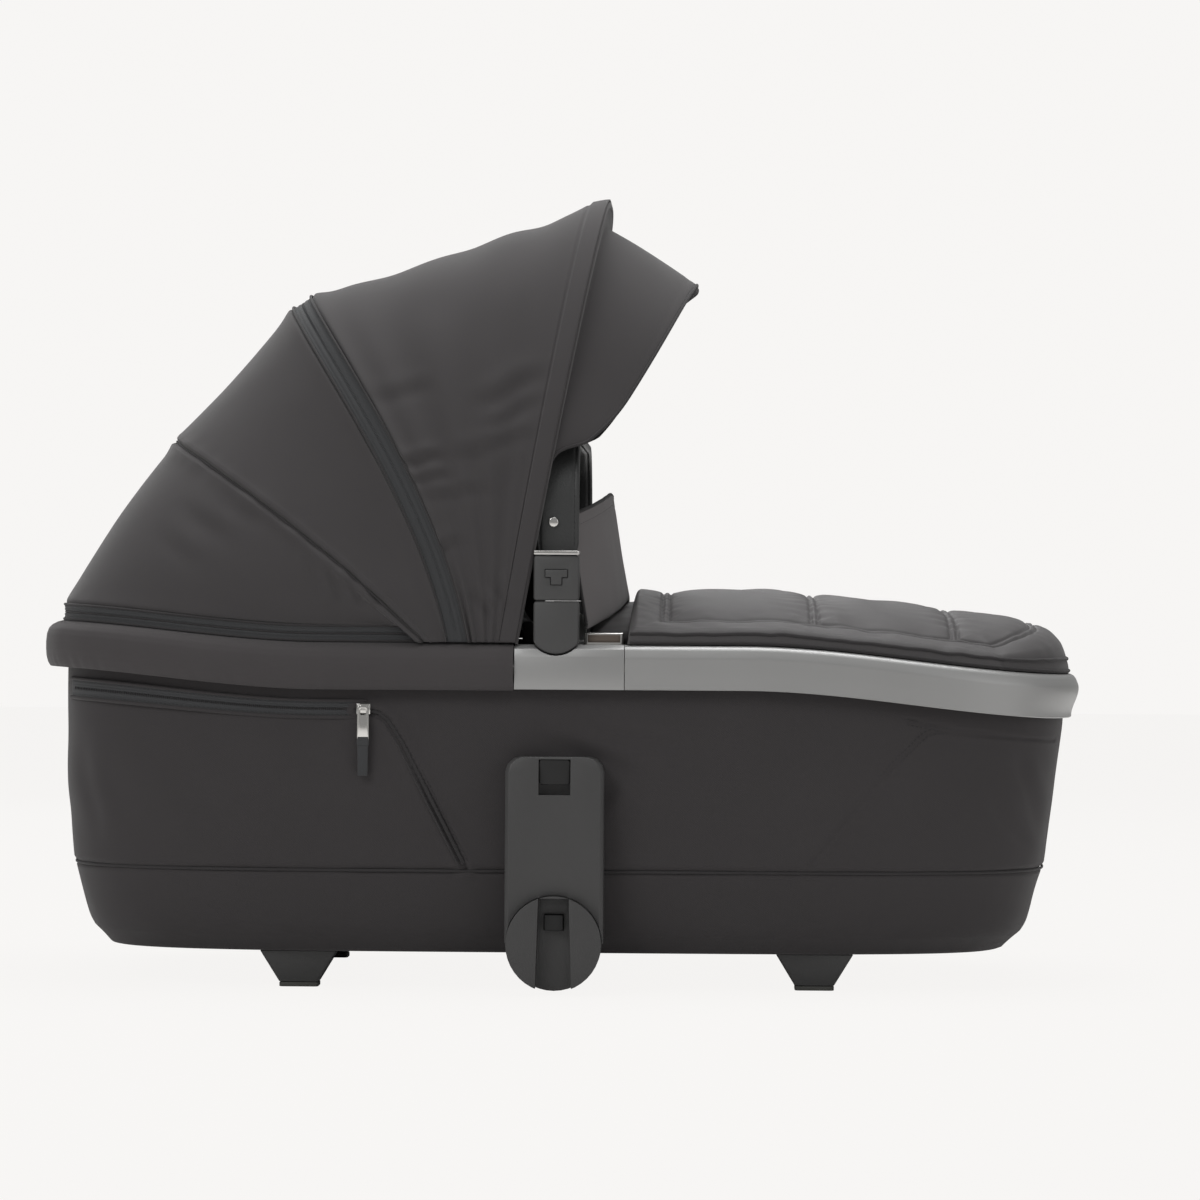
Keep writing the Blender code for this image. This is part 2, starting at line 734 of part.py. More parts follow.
def handle_side(side, word):
    housing_reach = sided(side, housing_inner, housing_outer)
    lower = prism(housing_outline(None, housing_seam - gap), *housing_reach)
    base = add_object(f"handle_base_{word}", lower, dark_plastic)
    bevel(base, housing_bevel, 2)
    blind = circle_outline(0.0, handle_axis_height, pin_radius + gap, 20)
    reach = sided(side, housing_inner - cut_overrun, housing_inner + pin_blind + gap)
    cut(base, f"pin_blind_{word}", prism(blind, *reach))
    pin_reach = sided(side, ear_inner, housing_inner + pin_blind)
    pin_disc = circle_outline(0.0, handle_axis_height, pin_radius, 20)
    pin = add_object(f"handle_pin_{word}", prism(pin_disc, *pin_reach), spring_steel)
    upper = prism(housing_outline(housing_seam, housing_top - gap), *housing_reach)
    cap = add_object(f"handle_housing_{word}", upper, dark_plastic)
    bevel(cap, housing_bevel, 2)
    tab_top = handle_axis_height + release_tab_rise + release_tab_height
    tab_mid = tab_top - release_tab_height / 2
    tab_low = tab_top - release_tab_height
    half = release_tab_width / 2
    stem = release_tab_stem_width / 2
    outline = [(-stem, tab_low), (stem, tab_low), (stem, tab_mid), (half, tab_mid)]
    outline += [(half, tab_top), (-half, tab_top), (-half, tab_mid), (-stem, tab_mid)]
    well = [(x + math.copysign(gap, x), z + math.copysign(gap, z - tab_mid - gap)) for x, z in outline]
    well_reach = sided(side, housing_outer - 2 * release_tab_travel - gap, housing_outer + cut_overrun)
    cut(cap, f"tab_well_{word}", prism(well, *well_reach))
    tab_reach = sided(side, housing_outer - release_tab_travel, housing_outer + release_tab_proud)
    tab = add_object(f"handle_release_{word}", prism(outline, *tab_reach), dark_plastic)
    band_inner = housing_inner - band_proud
    band_outer = housing_outer + band_proud
    band_mid = side * (band_inner + band_outer) / 2
    ring = box_outline(0.0, band_mid, 2 * (housing_half_width + band_proud), band_outer - band_inner, band_corner)
    band = add_object(f"handle_band_{word}", prism(ring, housing_top, housing_top + band_height, "Z"), chrome)
    rivet_z = handle_axis_height + rivet_rise
    strap_outer = strap_centre_y + strap_depth / 2 + gap
    disc = circle_outline(-rivet_offset, rivet_z, rivet_radius, 16)
    rivet_reach = sided(side, strap_outer, strap_outer + rivet_head)
    rivet = add_object(f"handle_rivet_{word}", prism(disc, *rivet_reach), chrome)
    bevel(rivet, rivet_bevel, 2)
    for piece in (base, pin, cap, tab, band, rivet):
        hang(piece, "handle_pivot", handle_pivot)


def strap_path():
    # The strap's centre line in the plane across the cot: up one side, over, and down the other.
    low = housing_top + band_height + gap
    top = handle_top - strap_depth / 2
    path = [(-strap_centre_y, low)]
    steps = 8
    for step in range(steps + 1):
        angle = math.pi - math.pi / 2 * step / steps
        y = -strap_centre_y + handle_corner + handle_corner * math.cos(angle)
        path.append((y, top - handle_corner + handle_corner * math.sin(angle)))
    return path + [(-y, z) for y, z in reversed(path)]


def strap_arch():
    path = strap_path()
    section = box_outline(0.0, 0.0, handle_strap_width, strap_depth, strap_depth * 0.4, 2)
    rings = []
    for index, (y, z) in enumerate(path):
        before = path[max(index - 1, 0)]
        after = path[min(index + 1, len(path) - 1)]
        along = Vector((0.0, after[0] - before[0], after[1] - before[1])).normalized()
        across = Vector((0.0, -along.z, along.y))
        rings.append([Vector((a, y, z)) + b * across for a, b in section])
    return loft(rings)


arch = add_object("handle_arch", strap_arch(), leatherette)
hang(arch, "handle_pivot", handle_pivot)


# Adapters: plates on the sides, round sockets with a slot, sprung latches and release buttons
def adapter(side, word):
    rings = []
    side_top = adapter_top - adapter_corner
    heights = [adapter_bottom, *[level[0] for level in outer_levels if adapter_bottom < level[0] < side_top]]
    steps = 3
    heights += [adapter_top - adapter_corner * (1 - math.sin(math.pi / 2 * step / steps)) for step in range(steps + 1)]
    for height in heights:
        rise = max(height - side_top, 0.0)
        half = adapter_half_width - adapter_corner * (1 - math.sqrt(max(1 - (rise / adapter_corner) ** 2, 0.0)))
        inner = tub_half_width(height) + gap
        chamfer = adapter_chamfer
        face = adapter_face - chamfer * rise / adapter_corner
        profile = [(-half, inner), (-half, face - chamfer), (chamfer - half, face)]
        profile += [(-x, y) for x, y in reversed(profile)]
        rings.append([Vector((x, side * y, height)) for x, y in profile])
    plate = add_object(f"adapter_plate_{word}", loft(rings), dark_plastic)
    hole = circle_outline(0.0, adapter_bottom, socket_radius + gap, 40)
    cut(plate, f"socket_seat_{word}", prism(hole, *sided(side, socket_back - gap, adapter_face + cut_overrun)))
    release_top = adapter_top - release_drop
    recess_low = release_top - release_height - release_travel - gap
    recess = [(-1, recess_low), (1, recess_low), (1, release_top + gap), (-1, release_top + gap)]
    recess = [(sx * (release_width / 2 + gap), z) for sx, z in recess]
    depth_face = adapter_face - release_depth
    cut(plate, f"release_recess_{word}", prism(recess, *sided(side, depth_face, adapter_face + cut_overrun)))
    key = box_outline(0.0, release_top - release_height / 2, release_width, release_height, release_corner)
    key_reach = sided(side, depth_face + gap, adapter_face - adapter_chamfer)
    button = add_object(f"adapter_release_{word}", prism(key, *key_reach), dark_plastic)
    hang(button, f"release_pivot_{word}", (0.0, side * adapter_face, release_top))
    disc_reach = sided(side, socket_back, socket_face)
    disc = prism(circle_outline(0.0, adapter_bottom, socket_radius, 40), *disc_reach)
    socket = add_object(f"adapter_socket_{word}", disc, dark_plastic)
    low = adapter_bottom - socket_radius - cut_overrun
    top = adapter_bottom + slot_top_rise
    slot = [(-slot_bottom_width / 2, low), (slot_bottom_width / 2, low)]
    slot += [(slot_top_width / 2, top), (-slot_top_width / 2, top)]
    slot_floor = socket_back + slot_back_wall
    cut(socket, f"adapter_slot_{word}", prism(slot, *sided(side, slot_floor, socket_face + cut_overrun)))
    latch_z = adapter_bottom + latch_rise
    hole = box_outline(0.0, latch_z, latch_width + 2 * gap, latch_height + 2 * gap)
    latch_back = socket_back - latch_travel
    reach = sided(side, latch_back - latch_travel - gap, slot_floor + cut_overrun)
    cut(socket, f"latch_bore_{word}", prism(hole, *reach))
    cut(plate, f"latch_seat_{word}", prism(hole, *reach))
    tongue = box_outline(0.0, latch_z, latch_width, latch_height)
    latch_reach = sided(side, latch_back, slot_floor + latch_proud)
    latch = add_object(f"adapter_latch_{word}", prism(tongue, *latch_reach), spring_steel)
    hang(latch, f"latch_pivot_{word}", (0.0, side * slot_floor, latch_z))


for side, word in ((-1, "right"), (1, "left")):
    add_object(f"side_strap_{word}", side_strap(side), spring_steel, soft=False)
    handle_mount(side, word)
    handle_side(side, word)
    adapter(side, word)

# Feet with rubber pads
for end, end_word in ((-1, "head"), (1, "toe")):
    for side, word in ((-1, "right"), (1, "left")):
        x = end * foot_place_x
        y = side * foot_place_y
        top_z = cover_bottom - gap
        low_z = foot_pad_height + gap
        rings = []
        for share, height in ((0.0, low_z), (0.5, (low_z + top_z) / 2), (1.0, top_z)):
            length = foot_bottom_length + (foot_top_length - foot_bottom_length) * share
            width = foot_bottom_width + (foot_top_width - foot_bottom_width) * share
            outline = box_outline(x, y, length, width, foot_chamfer, 2)
            rings.append([Vector((a, b, height)) for a, b in outline])
        add_object(f"foot_{end_word}_{word}", loft(rings), dark_plastic)
        outline = box_outline(x, y, foot_bottom_length, foot_bottom_width, foot_chamfer, 2)
        add_object(f"foot_pad_{end_word}_{word}", prism(outline, 0.0, foot_pad_height, "Z"), rubber)


# Hood: each bow is a flat arch in a plane through the hinge axis
arc_steps = 11
near_phase = (bow_eye_radius * 2.5 / front_bow_radius) ** (1.0 / bow_power)
arc_phases = [near_phase + (math.pi - 2 * near_phase) * k / (2 * arc_steps) for k in range(2 * arc_steps + 1)]
arc_phases = [0.0, *arc_phases, math.pi]
hinge_point = Vector((hood_axis_x, 0.0, hood_axis_z))
hood_bottom = rim_top + pad_extra_height / 2 + gap
fabric_inner = bow_thickness / 2 + gap
fabric_outer = fabric_inner + fabric_thickness


def arch_point(angle, radius, half_span, phase):
    reach = radius * max(math.sin(phase), 0.0) ** bow_power
    y = half_span * math.copysign(abs(math.cos(phase)) ** bow_power, -math.cos(phase))
    return reach, y, Vector((math.cos(angle), 0.0, math.sin(angle)))


def bow_object(name, angle_degrees, radius, half_span):
    angle = math.radians(angle_degrees)
    across = Vector((-math.sin(angle), 0.0, math.cos(angle)))
    start = (bow_eye_radius * 0.6 / radius) ** (1.0 / bow_power)
    phases = [start, *arc_phases[1:-1], math.pi - start]
    rings = []
    for phase in phases:
        ring = []
        for side, offset in ((-1, -1), (1, -1), (1, 1), (-1, 1)):
            grow = offset * bow_thickness / 2
            reach, y, radial = arch_point(angle, radius + grow, half_span + grow, phase)
            ring.append(hinge_point + reach * radial + Vector((0.0, y, 0.0)) + side * bow_width / 2 * across)
        rings.append(ring)
    bow = add_object(name, loft(rings), aluminium)
    for side, word in ((-1, "right"), (1, "left")):
        reach = sided(side, half_span - bow_thickness / 2, half_span + bow_thickness / 2)
        disc = circle_outline(hood_axis_x, hood_axis_z, bow_eye_radius, 20)
        eye = add_object(f"{name}_eye_{word}", prism(disc, *reach), aluminium)
        eye.hide_render = True
        eye.display_type = "WIRE"
        joined = bow.modifiers.new("eye", "BOOLEAN")
        joined.operation = "UNION"
        joined.solver = "EXACT"
        joined.object = eye
        bore = circle_outline(hood_axis_x, hood_axis_z, hinge_pin_radius + gap, 16)
        reach = sided(side, half_span - bow_pitch / 2, half_span + bow_pitch / 2)
        cut(bow, f"{name}_bore_{word}", prism(bore, *reach))
    hang(bow, "hood_pivot", hinge_point)


bow_object("front_bow", front_bow_angle, front_bow_radius, bow_half_span)
bow_object("zip_bow", zip_bow_angle, zip_bow_radius, bow_half_span - bow_pitch)
bow_object("rear_bow", rear_bow_angle, rear_bow_radius, bow_half_span - 2 * bow_pitch)

plate_outer = rim_half_width - rim_width - gap
for side, word in ((-1, "right"), (1, "left")):
    low = rim_top - ledge_depth
    high = hood_axis_z + hinge_plate_width / 2
    outline = box_outline(hood_axis_x, (low + high) / 2, hinge_plate_width, high - low, hinge_plate_width * 0.3)
    reach = sided(side, plate_outer - hinge_plate_thickness, plate_outer)
    hinge = add_object(f"hood_hinge_{word}", prism(outline, *reach), dark_plastic)
    reach = sided(side, plate_outer - hinge_plate_thickness / 2, bow_half_span + bow_thickness / 2)
    disc = circle_outline(hood_axis_x, hood_axis_z, hinge_pin_radius, 16)
    pin = add_object(f"hinge_pin_{word}", prism(disc, *reach), dark_plastic)
    pin.hide_render = True
    pin.display_type = "WIRE"
    joined = hinge.modifiers.new("pin", "BOOLEAN")
    joined.operation = "UNION"
    joined.solver = "EXACT"
    joined.object = pin

seams = {
    "front": (math.radians(front_bow_angle), front_bow_radius, hood_axis_x),
    "zip": (math.radians(zip_bow_angle), zip_bow_radius, zip_end_x),
    "rear": (math.radians(rear_bow_angle), rear_bow_radius, rear_end_x),
}


def seam_point(seam, phase, offset, shift):
    # A point of the fabric along a bow; near the rim the fabric leaves the bow for its own end.
    angle, radius, end_x = seams[seam]
    reach, y, radial = arch_point(angle, radius + offset, bow_half_span + offset + 2 * gap, phase)
    share = min(reach / radius, 1.0)
    end_pull = (1.0 - share) ** seam_pull
    end = Vector((end_x, 0.0, hood_bottom)) - hinge_point
    upright = smooth(share, 0.0, seam_upright_share)
    across = Vector((-1.0, 0.0, 0.0)).lerp(Vector((-math.sin(angle), 0.0, math.cos(angle))), upright).normalized()
    return hinge_point + reach * radial + end * end_pull + Vector((0.0, y, 0.0)) + shift * across


def rim_line_point(phase, offset):
    # The line round the head end on which the hood's rear panel stands: it climbs onto the zip tape.
    first = turn_at_x(rear_end_x - rim_line_setback)
    half_phase = phase if phase <= math.pi / 2 else math.pi - phase
    turn = first + (math.pi - first) * (half_phase / (math.pi / 2)) ** rim_line_power
    if phase <= math.pi / 2:
        turn = 2 * math.pi - turn
    inset = rim_tape_inset + rim_tape_thickness / 2 - (offset - (fabric_inner + fabric_outer) / 2)
    point = rim_point(turn, inset, 0.0)
    climb = smooth(rear_end_x - point.x, rim_line_setback, rim_line_setback + rim_line_run)
    point.z += pad_extra_height / 2 + gap + (rim_tape_height + 4 * gap) * climb
    return point


def panel(name, columns, bulge, wide_column, steps):
    # Columns are seam lines; cloth runs straight from one to the next, with a bulge on the wide one's span.
    def grid(offset):
        rows = []
        for phase in arc_phases:
            marks = []
            for column in columns:
                if column == "rim":
                    marks.append(rim_line_point(phase, offset))
                else:
                    marks.append(seam_point(column[0], phase, offset, column[1]))
            row = []
            for index, (before, after) in enumerate(zip(marks, marks[1:])):
                row.append(before)
                if index != wide_column:
                    continue
                for step in range(1, steps):
                    share = step / steps
                    point = before.lerp(after, share)
                    away = Vector((point.x - hinge_point.x, point.y * 0.5, point.z - hood_bottom)).normalized()
                    height = 4 * share * (1 - share) * math.sin(phase)
                    row.append(point + bulge * height * away)
            row.append(marks[-1])
            rows.append(row)
        return rows

    return add_object(name, slab(grid(fabric_outer), grid(fabric_inner)), hood_fabric)


edge_shift = bow_width / 2 + gap
tape_shift = zip_tape_width / 2 + gap
front_columns = (("front", -bow_width / 2), ("front", edge_shift), ("zip", -tape_shift))
middle_columns = (("zip", tape_shift), ("rear", -edge_shift), ("rear", -gap / 2))
rear_columns = (("rear", gap / 2), ("rear", edge_shift), "rim")
tape_columns = (("zip", -zip_tape_width / 2), ("zip", zip_tape_width / 2))
panels = (
    panel("hood_front_panel", front_columns, -front_sag, 1, 4),
    panel("hood_middle_panel", middle_columns, 0.0, 0, 3),
    panel("hood_rear_panel", rear_columns, rear_swell, 1, 5),
    panel("hood_zip_tape", tape_columns, 0.0, 0, 2),
)
for cloth in panels:
    hang(cloth, "hood_pivot", hinge_point)

# Zip tape that joins the hood to the rim round the head end
tape_rings = []
first_turn = turn_at_x(rear_end_x - rim_tape_setback)
for turn in turns_between(first_turn, 2 * math.pi - first_turn):
    ring = []
    for inset, rise in ((0, 0), (1, 0), (1, 1), (0, 1)):
        depth = -(pad_extra_height / 2 + gap + rise * rim_tape_height)
        ring.append(rim_point(turn, rim_tape_inset + inset * rim_tape_thickness, depth))
    tape_rings.append(ring)
add_object("rim_zip_tape", loft(tape_rings), piping)


# Visor on the front bow
def visor():
    angle = math.radians(front_bow_angle)
    forward = Vector((math.sin(angle), 0.0, -math.cos(angle)))
    droop = math.radians(visor_droop)
    out = Vector((math.cos(droop), 0.0, -math.sin(droop)))
    top_z = hood_axis_z + front_bow_radius * math.sin(angle)
    sine = (visor_end_height - hood_axis_z) / (front_bow_radius * math.sin(angle))
    start = math.asin(sine ** (1.0 / bow_power))
    grids = []
    for offset in (visor_thickness, 0.0):
        rows = []
        for k in range(arc_steps + 1):
            phase = start + (math.pi - 2 * start) * k / arc_steps
            reach, y, radial = arch_point(angle, front_bow_radius + offset, bow_half_span + offset, phase)
            root = hinge_point + reach * radial + Vector((0.0, y, 0.0))
            root += (bow_width / 2 + 3 * gap + offset) * forward
            low = root - radial * visor_step * reach / front_bow_radius
            height = max((root.z - visor_end_height) / (top_z - visor_end_height), 0.0)
            length = max(visor_length * min(height, 1.0) ** visor_power, visor_thickness)
            rows.append([root] + [low + out * length * share for share in (0.0, 0.35, 0.7, 1.0)])
        grids.append(rows)
    return slab(*grids)


hang(add_object("visor", visor(), hood_fabric), "hood_pivot", hinge_point)

# Apron: a quilted cover over the foot half, drawn in along its sewn channels
apron_foot = rim_foot_reach - apron_inset
apron_head = rim_head_reach - apron_inset
apron_half_width = rim_half_width - apron_inset
channel_half = apron_channel_dent * 1.6
end_sharpness = 34.0
side_roundness = 2.6


def apron_place(x_line, across_share):
    centre = (apron_foot - apron_head) / 2
    half = (apron_foot + apron_head) / 2
    s = (x_line - centre) / half
    t = across_share
    reach = max(abs(s), abs(t))
    norm = (abs(s) ** plan_power + abs(t) ** plan_power) ** (1.0 / plan_power)
    squash = 1.0 + (reach / norm - 1.0) * smooth(reach, apron_rounding_share, 1.0)
    x = centre + half * s * squash
    y = apron_half_width * t * squash
    dome = (1.0 - abs(t) ** side_roundness) * (1.0 - abs(s) ** end_sharpness)
    return x, y, dome


def apron_height(dome):
    return apron_edge_height + (apron_crown - apron_edge_height) * dome


border_share = 1.0 - apron_border / apron_half_width
border_half_share = channel_half / apron_half_width
side_shares = [0.0, 0.26, 0.52, 0.70, border_share - border_half_share, border_share]
side_shares += [border_share + border_half_share, 0.955, 1.0]
across_shares = [-share for share in reversed(side_shares[1:])] + side_shares
apron_lines = [apron_start, apron_start + apron_border / 4]
for seam_x in (apron_start + apron_border, apron_first_seam, apron_second_seam, apron_foot - apron_border):
    apron_lines += [seam_x - channel_half, seam_x, seam_x + channel_half]
middle_lines = ((4, 5, 3), (7, 8, 2), (10, 11, 2))
for before, after, parts in middle_lines:
    low = apron_lines[before]
    high = apron_lines[after]
    apron_lines += [low + (high - low) * k / parts for k in range(1, parts)]
apron_lines += [apron_foot - apron_border * 0.45, apron_foot - apron_border * 0.2, apron_foot]
apron_lines.sort()


def apron_dent(x_line, across_share):
    dent = 0.0
    inside = abs(across_share) <= border_share
    if inside and x_line in (apron_first_seam, apron_second_seam):
        dent = apron_channel_dent
    if inside and x_line in (apron_start + apron_border, apron_foot - apron_border):
        dent = apron_channel_dent
    between = apron_start + apron_border <= x_line <= apron_foot - apron_border
    if between and abs(across_share) == border_share:
        dent = apron_channel_dent
    return dent


top_grid = []
bottom_grid = []
for x_line in apron_lines:
    top_row = []
    bottom_row = []
    for across_share in across_shares:
        x, y, dome = apron_place(x_line, across_share)
        base = rim_top + rim_sheer(x)
        height = apron_height(dome)
        top_row.append(Vector((x, y, base + height - apron_dent(x_line, across_share))))
        bottom_row.append(Vector((x, y, base + max(height - apron_thickness, gap))))
    top_grid.append(top_row)
    bottom_grid.append(bottom_row)
add_object("apron", slab(top_grid, bottom_grid), body_fabric)


# Wind flap: stands up from the apron's front edge and wraps back at its ends
def wind_flap():
    grids = []
    columns = 16
    for face in (-0.5, 0.5):
        rows = []
        for k in range(columns + 1):
            share = 2.0 * k / columns - 1.0
            y = flap_half_span * share
            dome = apron_place(apron_start, y / apron_half_width)[2]
            low = max(rim_top + apron_height(dome) - apron_edge_height, flap_side_base)
            high = flap_top - (flap_top - flap_side_top) * abs(share) ** 2.5
            row = []
            for rise in (0.0, 0.35, 0.7, 1.0):
                x = apron_start - gap - flap_thickness / 2 - flap_wrap * abs(share) ** 4 - flap_lean * rise
                row.append(Vector((x + face * flap_thickness, y, low + (high - low) * rise)))
            rows.append(row)
        grids.append(rows)
    return slab(*grids)


flap_pivot = (apron_start - gap - flap_thickness / 2, 0.0, rim_top + apron_crown - apron_edge_height)
hang(add_object("wind_flap", wind_flap(), body_fabric), "flap_pivot", flap_pivot)


# Side pocket: zip tape, slider and pull on the child's right side
def tub_side(x, height):
    level = interpolate_level(height)
    return half_width_at(x, level[1], level[2], level[3])


def pocket_tape():
    grids = []
    columns = 12
    for lift in (gap + pocket_tape_thickness, gap):
        rows = []
        for k in range(columns + 1):
            x = pocket_start_x + (pocket_end_x - pocket_start_x) * k / columns
            row = []
            for rise in (-0.5, 0.5):
                z = pocket_tape_rise + rise * pocket_tape_height
                sheer = rim_sheer(x) * smooth(z, sheer_start_share * tub_height, tub_height)
                row.append(Vector((x, -tub_side(x, z) - lift, z + sheer)))
            rows.append(row)
        grids.append(rows)
    return slab(*grids)


add_object("pocket_zip_tape", pocket_tape(), piping)
slider_x = pocket_end_x - slider_length / 2
slider_ends = (slider_x - slider_length / 2, slider_x + slider_length / 2)
slider_face = max(tub_side(end, pocket_tape_rise - slider_height / 2) for end in slider_ends)
slider_near = slider_face + gap + pocket_tape_thickness + slider_clear
outline = box_outline(slider_x, pocket_tape_rise, slider_length, slider_height, slider_corner)
reach = (-slider_near - slider_thickness, -slider_near)
slider = add_object("pocket_zip_slider", prism(outline, *reach), chrome)
hang(slider, "slider_pivot", (slider_x, -slider_near, pocket_tape_rise))
pull_top = pocket_tape_rise + slider_height / 4
outline = box_outline(slider_x, pull_top - pull_length / 2, pull_width, pull_length, pull_width * 0.3)
reach = (-slider_near - slider_thickness - gap - pull_thickness, -slider_near - slider_thickness - gap)
pull = add_object("pocket_zip_pull", prism(outline, *reach), chrome)
hang(pull, "pull_pivot", (slider_x, -slider_near - slider_thickness - gap, pull_top))
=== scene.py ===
import math

import bmesh
import bpy
import numpy as np
from mathutils import Matrix, Vector, noise


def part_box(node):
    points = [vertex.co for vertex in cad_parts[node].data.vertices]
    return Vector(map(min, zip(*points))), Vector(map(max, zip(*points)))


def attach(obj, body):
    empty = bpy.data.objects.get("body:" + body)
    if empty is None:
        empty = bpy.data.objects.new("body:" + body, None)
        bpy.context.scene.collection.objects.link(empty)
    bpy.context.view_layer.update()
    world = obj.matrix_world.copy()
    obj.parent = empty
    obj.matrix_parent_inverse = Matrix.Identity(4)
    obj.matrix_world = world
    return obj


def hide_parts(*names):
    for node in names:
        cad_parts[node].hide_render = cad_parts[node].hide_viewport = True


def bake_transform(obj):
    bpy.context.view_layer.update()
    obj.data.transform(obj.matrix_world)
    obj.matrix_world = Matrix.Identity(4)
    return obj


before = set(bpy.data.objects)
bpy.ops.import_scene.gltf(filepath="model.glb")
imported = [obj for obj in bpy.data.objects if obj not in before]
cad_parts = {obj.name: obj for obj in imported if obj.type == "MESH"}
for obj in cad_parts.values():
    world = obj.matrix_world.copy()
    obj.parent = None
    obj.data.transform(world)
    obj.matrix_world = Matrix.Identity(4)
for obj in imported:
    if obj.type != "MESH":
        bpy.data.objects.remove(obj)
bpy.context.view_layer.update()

# The photographed view: a long lens nearly square to the cot's right side, level with its middle.
photo_pixels = 1200
focal_pixels = 4538
camera_distance = 3.8
camera_azimuth = math.radians(1.42)
camera_roll = math.radians(-0.35)
aim = Vector((0.0294, 0.0, 0.312))
camera_data = bpy.data.cameras.new("camera")
camera_data.sensor_width = 36.0
camera_data.lens = camera_data.sensor_width * focal_pixels / photo_pixels
camera = bpy.data.objects.new("camera", camera_data)
bpy.context.collection.objects.link(camera)
camera.location = aim + camera_distance * Vector((math.sin(camera_azimuth), -math.cos(camera_azimuth), 0.0))
camera.rotation_euler = (math.radians(90), camera_roll, camera_azimuth)
bpy.context.scene.camera = camera
bpy.context.scene.view_settings.view_transform = "Standard"


# The studio: a pale floor that reads as paper white, and three large soft lamps.
def studio_material(name, colour, seen_colour):
    made = bpy.data.materials.new(name)
    made.use_nodes = True
    nodes = made.node_tree.nodes
    links = made.node_tree.links
    nodes.clear()
    output = nodes.new("ShaderNodeOutputMaterial")
    mixer = nodes.new("ShaderNodeMixShader")
    surface = nodes.new("ShaderNodeBsdfDiffuse")
    surface.inputs["Color"].default_value = (*colour, 1.0)
    glow = nodes.new("ShaderNodeEmission")
    glow.inputs["Color"].default_value = (*seen_colour, 1.0)
    path = nodes.new("ShaderNodeLightPath")
    seen = nodes.new("ShaderNodeMath")
    seen.operation = "MULTIPLY"
    seen.inputs[1].default_value = 0.97
    links.new(path.outputs["Is Camera Ray"], seen.inputs[0])
    links.new(seen.outputs[0], mixer.inputs[0])
    links.new(surface.outputs[0], mixer.inputs[1])
    links.new(glow.outputs[0], mixer.inputs[2])
    links.new(mixer.outputs[0], output.inputs[0])
    return made


paper_seen = (0.93, 0.918, 0.905)
floor_shape = bmesh.new()
bmesh.ops.create_grid(floor_shape, x_segments=1, y_segments=1, size=9.0)
floor_mesh = bpy.data.meshes.new("floor")
floor_shape.to_mesh(floor_mesh)
floor_shape.free()
floor_mesh.materials.append(studio_material("floor_paper", (0.86, 0.85, 0.84), paper_seen))
floor = bpy.data.objects.new("floor", floor_mesh)
bpy.context.collection.objects.link(floor)

world = bpy.data.worlds.new("studio")
bpy.context.scene.world = world
world.use_nodes = True
world_nodes = world.node_tree.nodes
world_links = world.node_tree.links
ambient = world_nodes["Background"]
ambient.inputs["Color"].default_value = (1.0, 0.995, 0.985, 1.0)
ambient.inputs["Strength"].default_value = 0.34
backdrop = world_nodes.new("ShaderNodeBackground")
backdrop.inputs["Color"].default_value = (*paper_seen, 1.0)
world_path = world_nodes.new("ShaderNodeLightPath")
world_mix = world_nodes.new("ShaderNodeMixShader")
world_links.new(world_path.outputs["Is Camera Ray"], world_mix.inputs[0])
world_links.new(ambient.outputs[0], world_mix.inputs[1])
world_links.new(backdrop.outputs[0], world_mix.inputs[2])
world_links.new(world_mix.outputs[0], world_nodes["World Output"].inputs[0])

for lamp_name, lamp_place, lamp_size, lamp_power in (
    ("key_lamp", (-1.7, -2.2, 2.3), 1.5, 38.0),
    ("top_lamp", (0.2, 0.2, 2.6), 1.8, 56.0),
    ("fill_lamp", (2.4, -1.8, 1.2), 1.8, 9.0),
    ("back_lamp", (-0.6, 2.6, 1.6), 2.0, 22.0),
):
    lamp_data = bpy.data.lights.new(lamp_name, "AREA")
    lamp_data.size = lamp_size
    lamp_data.energy = lamp_power
    lamp = bpy.data.objects.new(lamp_name, lamp_data)
    bpy.context.collection.objects.link(lamp)
    lamp.location = lamp_place
    lamp.rotation_euler = (Vector((0.0, 0.0, 0.25)) - Vector(lamp_place)).to_track_quat("-Z", "Y").to_euler()


# The tub cover: padded melange cloth in one sleeve round the board, sewn shut under the rim and hemmed
# under the base, with a piped seam low down, a pocket seam at the head end and a shaped seam at the foot.
body_half_length = 0.4245
rim_half_width = 0.215
pad_bulge = 0.005
rim_head_reach = body_half_length - pad_bulge
rim_foot_reach = body_half_length
rim_top = 0.2764
plan_power = 4.4
tub_height = 0.2409
tub_rows = (
    (0.133, 0.870, 0.846, 0.800),
    (0.150, 0.892, 0.876, 0.850),
    (0.187, 0.909, 0.898, 0.8855),
    (0.240, 0.919, 0.909, 0.909),
    (0.322, 0.930, 0.919, 0.931),
    (0.415, 0.942, 0.936, 0.949),
    (0.640, 0.9575, 0.952, 0.963),
    (0.830, 0.9575, 0.962, 0.957),
    (1.000, 0.9570, 0.971, 0.9465),
    (1.045, 0.9570, 0.971, 0.9465),
)


def ease(value, low, high):
    share = min(max((value - low) / (high - low), 0.0), 1.0)
    return share * share * (3.0 - 2.0 * share)


def bell(value, width, middle=0.0):
    # 1 at the middle, falling smoothly to nothing at a few widths from it.
    return math.exp(-((value - middle) / width) ** 2)


def rounded(value, power):
    # A power that keeps the sign, for boxy rounded outlines.
    return math.copysign(abs(value) ** power, value)


def rough(x, y, z):
    return noise.noise(Vector((x, y, z)))


def rim_sheer(x):
    rise = 0.016 * ease(-x, 0.44 * body_half_length, body_half_length)
    return rise - 0.022 * ease(x, 0.35 * body_half_length, body_half_length)


def oval(turn, head, foot, half):
    # A point of the cot's plan outline, a long oval with nearly straight sides.
    share = 2.0 / plan_power
    x = (foot - head) / 2 + (foot + head) / 2 * rounded(math.cos(turn), share)
    return x, half * rounded(math.sin(turn), share)


